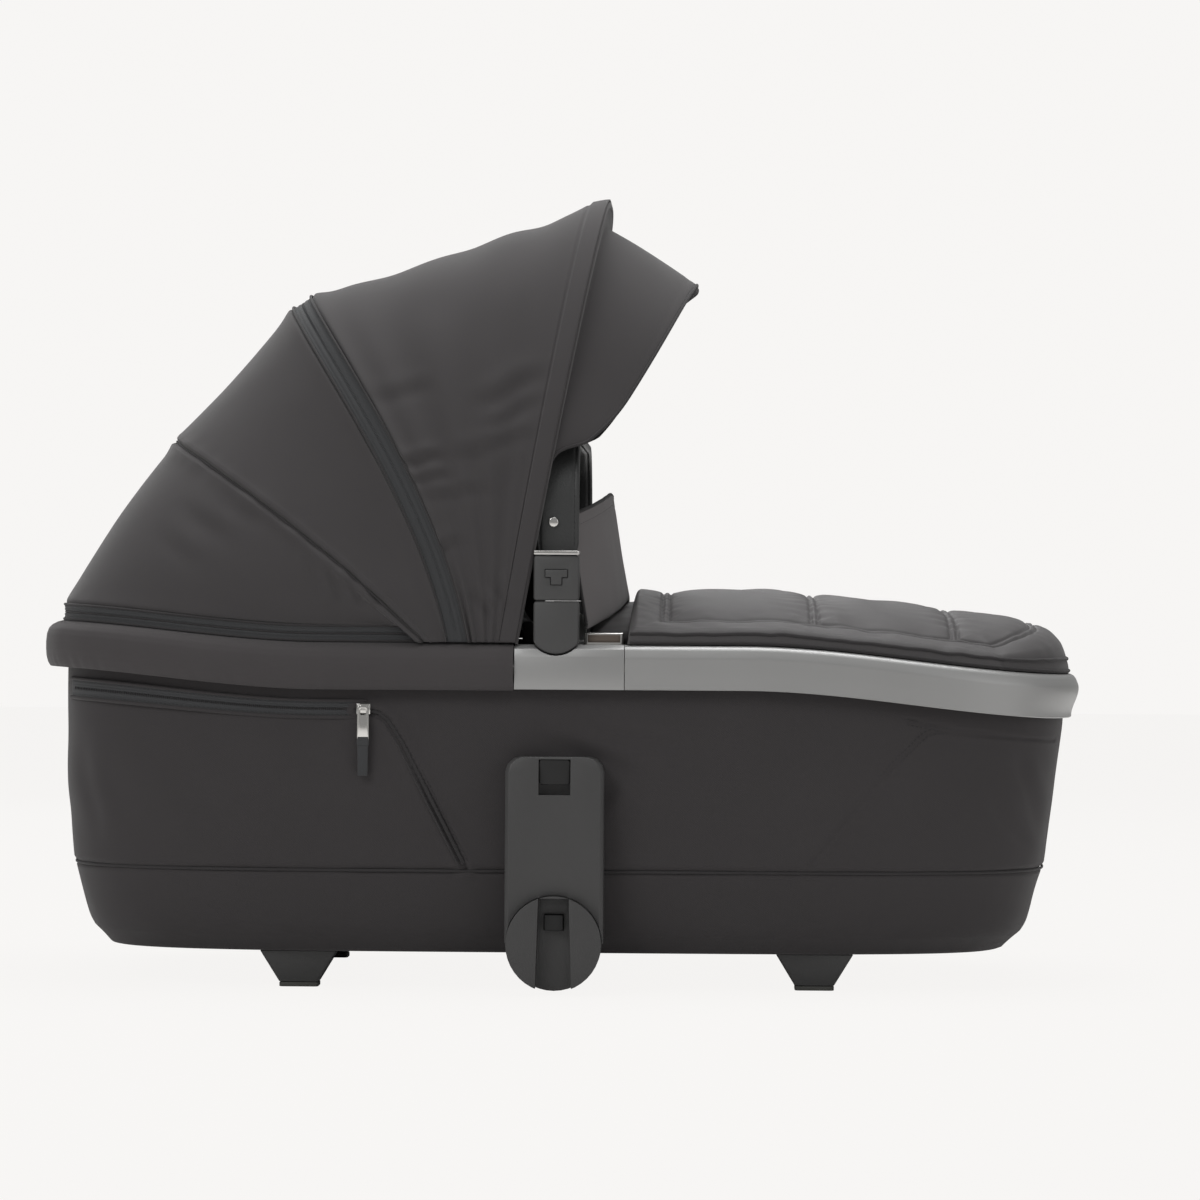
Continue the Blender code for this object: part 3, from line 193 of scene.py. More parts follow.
def oval_turns(count):
    # Turns that stand at even steps along the rim's outline.
    dense = np.linspace(0.0, 2 * math.pi, 6001)
    points = np.array([oval(turn, rim_head_reach, rim_foot_reach, rim_half_width) for turn in dense])
    along = np.concatenate(([0.0], np.cumsum(np.hypot(*np.diff(points, axis=0).T))))
    return np.interp(np.linspace(0.0, along[-1], count + 1), along, dense)


plan_steps = 960
even_turns = oval_turns(plan_steps)


def turn_of(step):
    return float(np.interp(step, np.arange(plan_steps + 1), even_turns))


def step_at(turn):
    return float(np.interp(turn, even_turns, np.arange(plan_steps + 1)))


def turn_at(share):
    return turn_of(share * plan_steps)


def tub_reach(height):
    # How far the tub reaches towards its head, its foot and its sides at a height, eased between its rows.
    heights = [row[0] * tub_height for row in tub_rows]
    reaches = []
    for column, scale in ((1, body_half_length), (2, body_half_length), (3, rim_half_width)):
        values = [row[column] * scale for row in tub_rows]
        steps = (-0.008, -0.004, 0.0, 0.004, 0.008)
        near = [float(np.interp(height + step, heights, values)) for step in steps]
        reaches.append(sum(near) / len(near))
    return reaches


def tub_lift(height, x):
    return ease(height, 0.64 * tub_height, tub_height) * rim_sheer(x)


def tub_skin(x, z, proud=0.0, side=-1):
    # The point of the tub's side wall at a given x and z.
    low, high = 0.02, 0.26
    for _ in range(30):
        height = (low + high) / 2
        if height + tub_lift(height, x) < z:
            low = height
        else:
            high = height
    head, foot, half = tub_reach(height)
    share = min(abs(x - (foot - head) / 2) / ((foot + head) / 2), 1.0)
    y = half * (1.0 - share ** plan_power) ** (1.0 / plan_power)
    return Vector((x, side * (y + proud), z))


def shaped_grid(columns, rows, place, size, wrap=False, centre=None, spread=None):
    # A sheet: place(u, v) gives each point; its UV map holds real metres, for the weave. Spread, a pair of
    # lists, gives the u that stands at a share of the columns, so that seams get more of them.
    shape = bmesh.new()
    bmesh.ops.create_grid(shape, x_segments=columns, y_segments=rows, size=0.5)
    if spread:
        for vertex in shape.verts:
            vertex.co.x = float(np.interp(vertex.co.x + 0.5, *spread)) - 0.5
    uv = shape.loops.layers.uv.new("cloth")
    for face in shape.faces:
        for loop in face.loops:
            loop[uv].uv = ((loop.vert.co.x + 0.5) * size[0], (loop.vert.co.y + 0.5) * size[1])
    for vertex in shape.verts:
        vertex.co = place(vertex.co.x + 0.5, vertex.co.y + 0.5)
    if wrap:
        bmesh.ops.remove_doubles(shape, verts=shape.verts, dist=1e-5)
    if centre is None:
        bmesh.ops.recalc_face_normals(shape, faces=shape.faces)
    else:
        shape.normal_update()
        middle = Vector(centre)
        if sum((face.calc_center_median() - middle).dot(face.normal) for face in shape.faces) < 0:
            bmesh.ops.reverse_faces(shape, faces=shape.faces)
    return shape


def finish_piece(name, shape, finish, body, replaced=(), thickness=0.0, sharp=40.0):
    mesh = bpy.data.meshes.new(name)
    shape.to_mesh(mesh)
    shape.free()
    mesh.shade_smooth()
    mesh.set_sharp_from_angle(angle=math.radians(sharp))
    mesh.materials.append(finish)
    piece = bpy.data.objects.new(name, mesh)
    bpy.context.collection.objects.link(piece)
    if thickness:
        wall = piece.modifiers.new("wall", "SOLIDIFY")
        wall.thickness = thickness
        wall.offset = -1.0
    if body:
        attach(piece, body)
    if replaced:
        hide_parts(*replaced)
    return piece


def noise_input(nodes, links, vector, scale, detail=2.0, roughness=0.5):
    made = nodes.new("ShaderNodeTexNoise")
    made.inputs["Scale"].default_value = scale
    made.inputs["Detail"].default_value = detail
    made.inputs["Roughness"].default_value = roughness
    links.new(vector, made.inputs["Vector"])
    return made


def new_group(name, inputs, outputs):
    group = bpy.data.node_groups.new(name, "ShaderNodeTree")
    for socket_name, kind, value in inputs:
        socket = group.interface.new_socket(socket_name, in_out="INPUT", socket_type=kind)
        if value is not None:
            socket.default_value = value
    for socket_name, kind in outputs:
        group.interface.new_socket(socket_name, in_out="OUTPUT", socket_type=kind)
    return group, group.nodes.new("NodeGroupInput"), group.nodes.new("NodeGroupOutput")


def math_node(nodes, links, operation, *values):
    made = nodes.new("ShaderNodeMath")
    made.operation = operation
    for index, value in enumerate(values):
        if isinstance(value, (int, float)):
            made.inputs[index].default_value = value
        else:
            links.new(value, made.inputs[index])
    return made.outputs[0]


# Woven cloth: fine crossing yarns with flecks of lighter and darker fibre, used by every cloth piece.
weave, weave_in, weave_out = new_group(
    "melange_weave",
    (("Place", "NodeSocketVector", None), ("Colour", "NodeSocketColor", (0.05, 0.05, 0.05, 1.0)),
     ("Yarns per metre", "NodeSocketFloat", 1500.0), ("Fleck", "NodeSocketFloat", 0.35),
     ("Cloud", "NodeSocketFloat", 0.12)),
    (("Colour", "NodeSocketColor"), ("Height", "NodeSocketFloat"), ("Roughness", "NodeSocketFloat")),
)
nodes, links = weave.nodes, weave.links


def weave_math(operation, *values):
    return math_node(weave.nodes, weave.links, operation, *values)


yarns = nodes.new("ShaderNodeVectorMath")
yarns.operation = "SCALE"
links.new(weave_in.outputs["Place"], yarns.inputs[0])
links.new(weave_in.outputs["Yarns per metre"], yarns.inputs["Scale"])
split = nodes.new("ShaderNodeSeparateXYZ")
links.new(yarns.outputs[0], split.inputs[0])
across = weave_math("SINE", weave_math("MULTIPLY", split.outputs[0], math.pi))
upward = weave_math("SINE", weave_math("MULTIPLY", split.outputs[1], math.pi))
woven = weave_math("MULTIPLY", across, upward)
flecks = noise_input(nodes, links, yarns.outputs[0], 0.9, 1.0)
clouds = noise_input(nodes, links, weave_in.outputs["Place"], 14.0, 3.0)
slub = weave_math("MULTIPLY_ADD", woven, 0.25, flecks.outputs["Fac"])
fleck_share = weave_math("MULTIPLY", weave_math("SUBTRACT", slub, 0.5), weave_in.outputs["Fleck"])
cloud_share = weave_math("SUBTRACT", clouds.outputs["Fac"], 0.5)
cloud_share = weave_math("MULTIPLY", cloud_share, weave_in.outputs["Cloud"])
value = weave_math("ADD", weave_math("ADD", fleck_share, cloud_share), 1.0)
tone = nodes.new("ShaderNodeHueSaturation")
links.new(weave_in.outputs["Colour"], tone.inputs["Color"])
links.new(value, tone.inputs["Value"])
links.new(tone.outputs[0], weave_out.inputs["Colour"])
links.new(weave_math("MULTIPLY_ADD", woven, 0.5, flecks.outputs["Fac"]), weave_out.inputs["Height"])
links.new(weave_math("MULTIPLY_ADD", flecks.outputs["Fac"], 0.2, 0.75), weave_out.inputs["Roughness"])


def cloth_material(name, colour, yarns_per_metre=1500.0, fleck=0.35, bump=0.25, sheen=0.12, cloud=0.12):
    made = bpy.data.materials.new(name)
    made.use_nodes = True
    nodes, links = made.node_tree.nodes, made.node_tree.links
    shader = nodes["Principled BSDF"]
    shader.inputs["Sheen Weight"].default_value = sheen
    shader.inputs["Specular IOR Level"].default_value = 0.25
    place = nodes.new("ShaderNodeTexCoord").outputs["UV"]
    cloth = nodes.new("ShaderNodeGroup")
    cloth.node_tree = weave
    links.new(place, cloth.inputs["Place"])
    cloth.inputs["Colour"].default_value = (*colour, 1.0)
    cloth.inputs["Yarns per metre"].default_value = yarns_per_metre
    cloth.inputs["Fleck"].default_value = fleck
    cloth.inputs["Cloud"].default_value = cloud
    links.new(cloth.outputs["Colour"], shader.inputs["Base Color"])
    links.new(cloth.outputs["Roughness"], shader.inputs["Roughness"])
    relief = nodes.new("ShaderNodeBump")
    relief.inputs["Strength"].default_value = bump
    relief.inputs["Distance"].default_value = 0.0003
    links.new(cloth.outputs["Height"], relief.inputs["Height"])
    links.new(relief.outputs[0], shader.inputs["Normal"])
    return made


body_cloth = cloth_material("body_cloth", (0.035, 0.032, 0.033))


def dip(x, z, line, width):
    # 1 on a sewn line given as points in x and z, falling to 0 at a width from it.
    best = 1.0
    for (x0, z0), (x1, z1) in zip(line, line[1:]):
        span = (x1 - x0) ** 2 + (z1 - z0) ** 2
        share = min(max(((x - x0) * (x1 - x0) + (z - z0) * (z1 - z0)) / span, 0.0), 1.0)
        gone = math.hypot(x - x0 - share * (x1 - x0), z - z0 - share * (z1 - z0)) / width
        best = min(best, gone)
    return (1.0 - best) ** 2 * (1.0 + 2.0 * best)


def crease(a, b, lines):
    # Soft folds along short lines, each (a0, b0, a1, b1, depth, width): a hollow with a low ridge beside it.
    rise = 0.0
    for a0, b0, a1, b1, depth, width in lines:
        run = math.hypot(a1 - a0, b1 - b0)
        along = ((a - a0) * (a1 - a0) + (b - b0) * (b1 - b0)) / run
        off = ((b - b0) * (a1 - a0) - (a - a0) * (b1 - b0)) / run
        if -0.03 < along < run + 0.03 and abs(off) < 5 * width:
            bend = 0.25 * width * math.sin(6.0 * along / run)
            fade = ease(along, -0.2 * run, 0.35 * run) * ease(run - along, -0.2 * run, 0.35 * run)
            hollow = bell(off + bend, width)
            ridge = bell(off + bend, 1.2 * width, 1.7 * width)
            rise += depth * fade * (0.7 * ridge - hollow)
    return rise


tub_folds = (
    (-0.010, 0.205, 0.060, 0.172, 0.0022, 0.008), (0.020, 0.214, 0.110, 0.190, 0.0016, 0.007),
    (0.060, 0.180, 0.020, 0.140, 0.0014, 0.008), (-0.330, 0.150, -0.260, 0.130, 0.0010, 0.009),
    (-0.200, 0.190, -0.160, 0.160, 0.0010, 0.007), (0.370, 0.200, 0.385, 0.130, 0.0014, 0.006),
    (0.350, 0.150, 0.378, 0.115, 0.0012, 0.006), (-0.385, 0.190, -0.370, 0.120, 0.0014, 0.008),
)
base_seam_height = 0.0968
pocket_seam = ((-0.157, 0.2235), (-0.141, 0.2215), (-0.133, 0.2156), (-0.1213, 0.1975), (-0.0707, 0.0985))
foot_seam = ((0.400, 0.2190), (0.306, 0.2215), (0.2935, 0.2170), (0.1987, 0.0985))
foot_top_seam = ((0.278, 0.2285), (0.306, 0.2255), (0.36, 0.2225), (0.40, 0.219))
pocket_slot_height = 0.2245


def cover_relief(x, y, z):
    # How far the padded cloth stands out from or dips into the even wall.
    swell = 0.0013 * rough(x * 9.0, y * 9.0, z * 12.0)
    swell += 0.0005 * rough(x * 30.0, y * 30.0, z * 22.0 + 4.0)
    from_seam = abs(z - base_seam_height)
    swell += (0.0004 if z < base_seam_height else 0.0013) * math.exp(-from_seam / 0.010)
    swell -= 0.0032 * dip(0.0, z, ((-1.0, base_seam_height), (1.0, base_seam_height)), 0.0034)
    swell += 0.0004 * rough(x * 55.0, y * 55.0, 7.0) * math.exp(-from_seam / 0.018)
    if abs(y) > 0.10:
        swell -= 0.0044 * dip(x, z, pocket_seam, 0.0040)
        swell += 0.0022 * dip(x, z, pocket_seam, 0.0140)
        swell += crease(x, z, tub_folds)
        swell -= 0.0010 * dip(x, z, foot_seam, 0.0022)
        swell += 0.0004 * dip(x, z, foot_seam, 0.0110)
        swell -= 0.0008 * dip(x, z, foot_top_seam, 0.0020)
    # Soft drag lines run from the rim's corner towards the base, and the cloth rucks where it turns under.
    drag_area = ease(-x, 0.17, 0.30) * ease(z, 0.10, 0.15) * ease(-z, -0.215, -0.17)
    swell += 0.0006 * math.sin(95.0 * (x + 0.9 * z)) * drag_area
    swell += 0.0007 * rough(x * 42.0, y * 42.0, 2.0) * ease(-z, -0.058, -0.034)
    return swell


cover_path = [(0.0295, 0.030), (0.0295, 0.012), (0.0297, 0.004), (0.0306, 0.0012)]
cover_path += [(0.032 + 0.0032 * k, 0.0) for k in range(69)]
cover_run = [0.0]
for (z0, in0), (z1, in1) in zip(cover_path, cover_path[1:]):
    cover_run.append(cover_run[-1] + math.hypot(z1 - z0, in1 - in0))


def cover_place(u, v):
    along = v * cover_run[-1]
    height = float(np.interp(along, cover_run, [spot[0] for spot in cover_path]))
    inset = float(np.interp(along, cover_run, [spot[1] for spot in cover_path]))
    head, foot, half = tub_reach(max(height, 0.032))
    turn = turn_at(u % 1.0)
    x, y = oval(turn, head - inset, foot - inset, half - inset)
    middle = (foot - head) / 2
    long_half = (foot + head) / 2 - inset
    gradient_x = rounded((x - middle) / long_half, plan_power - 1) / long_half
    gradient_y = rounded(y / (half - inset), plan_power - 1) / (half - inset)
    length = math.hypot(gradient_x, gradient_y)
    z = height + tub_lift(height, x)
    shift = cover_relief(x, y, height) if height > 0.0305 else 0.0
    return Vector((x + shift * gradient_x / length, y + shift * gradient_y / length, z))


cover_shape = shaped_grid(780, 127, cover_place, (2.35, cover_run[-1]), wrap=True, centre=(0.0, 0.0, 0.14))
cover_piece = finish_piece("tub_cover_cloth", cover_shape, body_cloth, "tub", ("tub_cover",), sharp=80.0)


# Stitches: short threads laid along a path of points, each slightly sunk into the cloth.
thread = cloth_material("sewing_thread", (0.022, 0.021, 0.022), 4000.0, 0.2, 0.1)
stitch_radius = 0.00022
stitch_lift = 0.0001


def bead(shape, spot, along, normal, half_size):
    # A small rounded grain lying along a line on a surface: a stitch, or a turn of the hood zip's coil.
    side = along.cross(normal).normalized()
    turn = Matrix((along, side, normal)).transposed().to_4x4()
    place = Matrix.Translation(spot) @ turn @ Matrix.Diagonal((*half_size, 1.0))
    bmesh.ops.create_icosphere(shape, subdivisions=1, radius=1.0, matrix=place)


def stitch_row(name, path, normals, body, pitch=0.0036, length=0.0027):
    shape = bmesh.new()
    if isinstance(normals, Vector):
        normals = [normals] * len(path)
    run = [0.0]
    for before, after in zip(path, path[1:]):
        run.append(run[-1] + (after - before).length)
    count = int(run[-1] / pitch)
    for k in range(count):
        at = (k + 0.5) * pitch
        index = min(int(np.searchsorted(run, at)) - 1, len(path) - 2)
        share = (at - run[index]) / max(run[index + 1] - run[index], 1e-9)
        spot = path[index].lerp(path[index + 1], share)
        along = (path[index + 1] - path[index]).normalized()
        normal = normals[index].lerp(normals[index + 1], share).normalized()
        bead(shape, spot, along, normal, (length / 2, stitch_radius * 1.1, stitch_radius))
    return finish_piece(name, shape, thread, body, sharp=85.0)


def side_seam_path(line, side, shift, proud):
    # A sewn line of the tub's side, as points on the cover.
    points = []
    for (x0, z0), (x1, z1) in zip(line, line[1:]):
        steps = max(int(math.hypot(x1 - x0, z1 - z0) / 0.004), 1)
        slope = Vector((x1 - x0, z1 - z0)).normalized()
        for k in range(steps):
            x = x0 + (x1 - x0) * k / steps - shift * slope.y
            z = z0 + (z1 - z0) * k / steps + shift * slope.x
            points.append(tub_skin(x, z + tub_lift(z, x), proud + cover_relief(x, 0.2, z), side))
    return points


cover_stitches = (
    (foot_seam, 0.0024), (foot_seam, -0.0024), (pocket_seam, 0.0042),
    (foot_top_seam, 0.0), (foot_top_seam, -0.0048),
)
for side, word in ((-1, "right"), (1, "left")):
    for index, (line, shift) in enumerate(cover_stitches):
        path = side_seam_path(line, side, shift, stitch_lift)
        stitch_row(f"cover_stitch_{word}_{index}", path, Vector((0.0, side, 0.0)), "tub")


# Piping: a thin round cord sewn into the base seam, and one in the pocket's slanted seam with a fold of
# cloth beside it.
cord_sides = 10


def cord(name, path, radius, finish, body, closed=False):
    count = len(path)

    def place(u, v):
        index = round(u * (count if closed else count - 1))
        before = path[(index - 1) % count] if closed or index > 0 else path[0]
        after = path[(index + 1) % count] if closed or index < count - 1 else path[-1]
        along = (after - before).normalized()
        side = along.cross(Vector((0.0, 0.0, 1.0)))
        if side.length < 0.1:
            side = along.cross(Vector((0.0, 1.0, 0.0)))
        side.normalize()
        up = side.cross(along)
        angle = 2 * math.pi * v
        return path[index % count] + radius * (math.cos(angle) * side + math.sin(angle) * up)

    length = sum((after - before).length for before, after in zip(path, path[1:]))
    size = (length, 2 * math.pi * radius)
    shape = shaped_grid(count if closed else count - 1, cord_sides, place, size, wrap=True)
    return finish_piece(name, shape, finish, body)


piping_cloth = cloth_material("piping_cloth", (0.030, 0.028, 0.029), 1900.0, 0.3, 0.3)
base_cord = []
for k in range(480):
    head, foot, half = tub_reach(base_seam_height)
    x, y = oval(turn_at(k / 480), head - 0.0004, foot - 0.0004, half - 0.0004)
    base_cord.append(Vector((x, y, base_seam_height - 0.0004)))
cord("base_seam_piping", base_cord, 0.0011, piping_cloth, "tub", closed=True)
for side, word in ((-1, "right"), (1, "left")):
    for kind, shift, proud, radius in (("piping", 0.0002, 0.0026, 0.0015), ("fold", -0.0040, 0.0001, 0.0009)):
        path = side_seam_path(pocket_seam, side, shift, proud)
        cord(f"pocket_seam_{kind}_{word}", path, radius, piping_cloth, "tub")


# The hood: three cloth panels sewn to three bows that fold about one hinge, each seam lying in its bow's
# plane. The panels are pulled smooth between the bows, with a few folds beside the zip and over the rim.
hood_cloth = cloth_material("hood_cloth", (0.043, 0.040, 0.041), 1500.0, 0.4, 0.22, 0.14)
hinge_height = 0.288
hinge = Vector((-0.0385, 0.0, hinge_height))
cloth_half_span = 0.2081
arch_power = 0.70
hood_foot = 0.27795
front_angle = math.radians(79.05)
front_radius = 0.3585
hood_seams = {
    "front": (front_angle, front_radius, -0.0385, 3.0),
    "zip": (math.radians(123.6), 0.3205, -0.078, 3.0),
    "rear": (math.radians(151.5), 0.3190, -0.105, 1.6),
}
hood_skin = 0.0043


def seam_point(seam, phase, offset, shift):
    angle, radius, end_x, pull = hood_seams[seam]
    reach = (radius + offset) * max(math.sin(phase), 0.0) ** arch_power
    y = -(cloth_half_span + offset) * rounded(math.cos(phase), arch_power)
    radial = Vector((math.cos(angle), 0.0, math.sin(angle)))
    share = min(reach / radius, 1.0)
    end = (Vector((end_x, 0.0, hood_foot)) - hinge) * (1.0 - share) ** pull
    square = Vector((-math.sin(angle), 0.0, math.cos(angle)))
    across = Vector((-1.0, 0.0, 0.0)).lerp(square, ease(share, 0.0, 0.3))
    return hinge + reach * radial + end + Vector((0.0, y, 0.0)) + shift * across.normalized()


def even_phases(seam, count):
    # Phases that stand at even steps along a seam, from the child's right side over to the left.
    dense = np.concatenate((np.geomspace(1e-6, 0.05, 200), np.linspace(0.05, math.pi / 2, 1200)[1:]))
    dense = np.concatenate(([0.0], dense, (math.pi - dense)[::-1][1:], [math.pi]))
    points = [seam_point(seam, phase, 0.0, 0.0) for phase in dense]
    steps = [(after - before).length for before, after in zip(points, points[1:])]
    run = np.concatenate(([0.0], np.cumsum(steps)))
    return np.interp(np.linspace(0.0, run[-1], count + 1), run, dense), float(run[-1])


hood_rows = 400
seam_phases = {name: even_phases(name, hood_rows)[0] for name in hood_seams}
seam_length = even_phases("zip", hood_rows)[1]


def phase_at(seam, v):
    return float(np.interp(v * hood_rows, np.arange(hood_rows + 1), seam_phases[seam]))


def turn_at_x(x):
    half_length = (rim_foot_reach + rim_head_reach) / 2
    share = (x - (rim_foot_reach - rim_head_reach) / 2) / half_length
    return math.acos(rounded(share, plan_power / 2))


def rim_line(v, inset, rise, start_x=-0.107):
    # A point over the head pad, from the child's right side round the head end to the left.
    first = turn_at_x(start_x) / (2 * math.pi)
    lows = step_at(2 * math.pi * (1 - first))
    highs = step_at(2 * math.pi * first)
    turn = turn_of(lows + (highs - lows) * v)
    x, y = oval(turn, rim_head_reach - inset, rim_foot_reach - inset, rim_half_width - inset)
    return Vector((x, y, rim_top + rim_sheer(x) + rise))


def hood_normal(point):
    # Outwards from the hood at a point: up and away at its crown, sideways at its walls.
    reach = math.hypot(point.x - hinge.x, point.z - hinge.z)
    lift = (reach / 0.335) ** 1.857 / 0.335
    sideways = (abs(point.y) / 0.2124) ** 1.857 / 0.2124
    radial = Vector((point.x - hinge.x, 0.0, point.z - hinge.z)).normalized()
    return (radial * lift + Vector((0.0, math.copysign(sideways, point.y), 0.0))).normalized()


def cloth_noise(point, scale, seed):
    return rough(point.x * scale, point.y * scale, point.z * scale + seed)


def bend_with(piece, low_body, high_body, weights):
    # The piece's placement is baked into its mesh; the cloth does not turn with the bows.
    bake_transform(piece)


def hood_panel(name, place, columns, width, bodies, weight,
               thickness=0.0012, finish=hood_cloth, replaced=(), spread=None):
    weights = []

    def weighed_place(u, v):
        weights.append(weight(u, v))
        return place(u, v)

    shape = shaped_grid(columns, hood_rows, weighed_place, (width, seam_length),
                        centre=(-0.06, 0.0, 0.30), spread=spread)
    piece = finish_piece(name, shape, finish, None, replaced, thickness, 80.0)
    bend_with(piece, *bodies, weights)
    return piece


zip_edge = 0.0084


def across_columns(u, v, columns):
    # The cloth runs straight from one column to the next, each given as (share, seam, shift).
    for (share, seam, shift), (next_share, next_seam, next_shift) in zip(columns, columns[1:]):
        if u <= next_share:
            break
    before = seam_point(seam, phase_at(seam, v), hood_skin, shift)
    if next_seam == "rim":
        after = rim_line(v, 0.0103, 0.0142)
    else:
        after = seam_point(next_seam, phase_at(next_seam, v), hood_skin, next_shift)
    return before.lerp(after, (u - share) / (next_share - share))


front_folds = (
    (-0.128, 0.418, -0.090, 0.424, 0.0022, 0.0050), (-0.122, 0.404, -0.084, 0.409, 0.0018, 0.0045),
    (-0.062, 0.466, -0.010, 0.492, 0.0022, 0.0080), (-0.056, 0.448, -0.014, 0.470, 0.0020, 0.0070),
    (-0.082, 0.424, -0.018, 0.442, 0.0018, 0.0070), (-0.110, 0.392, -0.050, 0.396, 0.0014, 0.0060),
    (-0.114, 0.342, -0.072, 0.356, 0.0018, 0.0055), (-0.150, 0.470, -0.100, 0.480, 0.0012, 0.0070),
    (-0.066, 0.320, -0.052, 0.296, 0.0026, 0.0050), (-0.050, 0.330, -0.040, 0.300, 0.0022, 0.0050),
)
front_columns = ((0.0, "front", -0.0062), (0.050, "front", 0.0064), (1.0, "zip", -zip_edge))


def front_place(u, v):
    point = across_columns(u, v, front_columns)
    outwards = hood_normal(point)
    arch = math.sin(math.pi * v)
    crown = ease(point.z, 0.30, 0.50)
    sag = -0.0055 * 4 * u * (1 - u) * ease(arch, 0.0, 0.7) - 0.0046 * crown * bell(u, 0.11, 0.17)
    sag += 0.0018 * crown * ease(0.05 - u, 0.0, 0.05)
    hem = -0.0011 * dip(u, 0.0, ((0.062, -1.0), (0.062, 1.0)), 0.012) + 0.0006 * ease(0.062 - u, 0.0, 0.03)
    roll = 0.0030 * bell(u, 0.055, 1.0) - 0.0042 * bell(u, 0.012, 1.0)
    folds = crease(point.x, point.z, front_folds) * ease(abs(point.y), 0.04, 0.12)
    waves = math.sin(34.0 * u - 46.0 * point.z + 2.2 * cloth_noise(point, 6.0, 3.0))
    folds += 0.0010 * waves * ease(u, 0.45, 0.8) * ease(0.44 - point.z, 0.0, 0.10)
    soft = 0.0016 * cloth_noise(point, 7.0, 1.0) + 0.0008 * cloth_noise(point, 19.0, 5.0)
    lengthways = 0.0010 * math.sin(26.0 * u + 5.0 * cloth_noise(point, 4.0, 9.0))
    lengthways *= ease(u, 0.06, 0.2) * ease(1 - u, 0.0, 0.15)
    return point + (sag + hem + roll + folds + (soft + lengthways) * ease(u, 0.0, 0.12)) * outwards


hood_front_piece = hood_panel(
    "hood_front_cloth", front_place, 122, 0.25, ("hood_middle", "hood_front"),
    lambda u, v: min((1.0 - u) / 0.95, 1.0), replaced=("hood_front_panel",),
    spread=((0.0, 0.22, 0.85, 1.0), (0.0, 0.09, 0.94, 1.0)),
)


middle_columns = ((0.0, "zip", zip_edge), (0.960, "rear", -0.0060), (1.0, "rear", -0.0002))


def middle_place(u, v):
    point = across_columns(u, v, middle_columns)
    arch = math.sin(math.pi * v)
    sag = -0.0030 * 4 * u * (1 - u) * ease(arch, 0.0, 0.6)
    roll = 0.0022 * bell(u, 0.09) - 0.0036 * bell(u, 0.018)
    seam = 0.0012 * bell(u, 0.05, 1.0) - 0.0030 * bell(u, 0.012, 1.0)
    soft = 0.0012 * cloth_noise(point, 8.0, 11.0) + 0.0006 * cloth_noise(point, 24.0, 14.0)
    pucker = 0.0007 * cloth_noise(point, 60.0, 17.0) * bell(u, 0.10, 1.0)
    drag = 0.0012 * math.sin(70.0 * (point.z - 0.5 * point.x)) * ease(0.40 - point.z, 0.0, 0.10)
    return point + (sag + roll + seam + soft + pucker + drag * 4 * u * (1 - u)) * hood_normal(point)


hood_middle_piece = hood_panel(
    "hood_middle_cloth", middle_place, 84, 0.16, ("hood_rear", "hood_middle"),
    lambda u, v: max(1.0 - u / 0.96, 0.0), replaced=("hood_middle_panel",),
    spread=((0.0, 0.15, 0.80, 1.0), (0.0, 0.06, 0.93, 1.0)),
)


rear_folds = (
    (-0.148, 0.322, -0.140, 0.304, 0.0020, 0.0036), (-0.163, 0.330, -0.154, 0.306, 0.0020, 0.0040),
    (-0.179, 0.336, -0.170, 0.308, 0.0018, 0.0044), (-0.197, 0.344, -0.186, 0.312, 0.0014, 0.0050),
    (-0.300, 0.386, -0.262, 0.352, 0.0016, 0.0080), (-0.318, 0.366, -0.286, 0.330, 0.0014, 0.0080),
    (-0.268, 0.392, -0.236, 0.366, 0.0012, 0.0070),
)
rear_columns = ((0.0, "rear", 0.0002), (0.030, "rear", 0.0060), (1.0, "rim", 0.0))


def rear_place(u, v):
    point = across_columns(u, v, rear_columns)
    arch = math.sin(math.pi * v)
    swell = 0.0045 * 4 * u * (1 - u) * ease(arch, 0.0, 0.8) ** 0.7
    seam = 0.0022 * bell(u, 0.06) - 0.0034 * bell(u, 0.012)
    hem = 0.0010 * bell(u, 0.10, 1.0) - 0.0016 * bell(u, 0.02, 1.0)
    soft = 0.0013 * cloth_noise(point, 8.0, 21.0) + 0.0006 * cloth_noise(point, 22.0, 24.0)
    pucker = 0.0010 * cloth_noise(point, 55.0, 27.0) * (bell(u, 0.10) + 0.5 * bell(u, 0.12, 1.0))
    pucker += crease(point.x, point.z, rear_folds) * ease(abs(point.y), 0.04, 0.12) * ease(1 - u, 0.0, 0.08)
    return point + (swell + seam + hem + soft * ease(1 - u, 0.0, 0.1) + pucker) * hood_normal(point)


hood_rear_piece = hood_panel(
    "hood_rear_cloth", rear_place, 94, 0.22, ("tub", "hood_rear"),
    lambda u, v: min((1.0 - u) / 0.97, 1.0), replaced=("hood_rear_panel",),
    spread=((0.0, 0.15, 0.90, 1.0), (0.0, 0.05, 0.95, 1.0)),
)


# The hood's zip: a ribbed tape with a coil under its flap, between two folded and piped edges.
tape_cloth = cloth_material("zip_tape_cloth", (0.040, 0.041, 0.043), 2400.0, 0.25, 0.4)


def zip_place(u, v):
    point = seam_point("zip", phase_at("zip", v), hood_skin, 0.0176 * (u - 0.5))
    ribs = 0.0004 * abs(math.sin(math.pi * 5 * u)) - 0.0011
    middle = -0.0007 * bell(u, 0.07, 0.5)
    return point + (ribs + middle) * hood_normal(point)


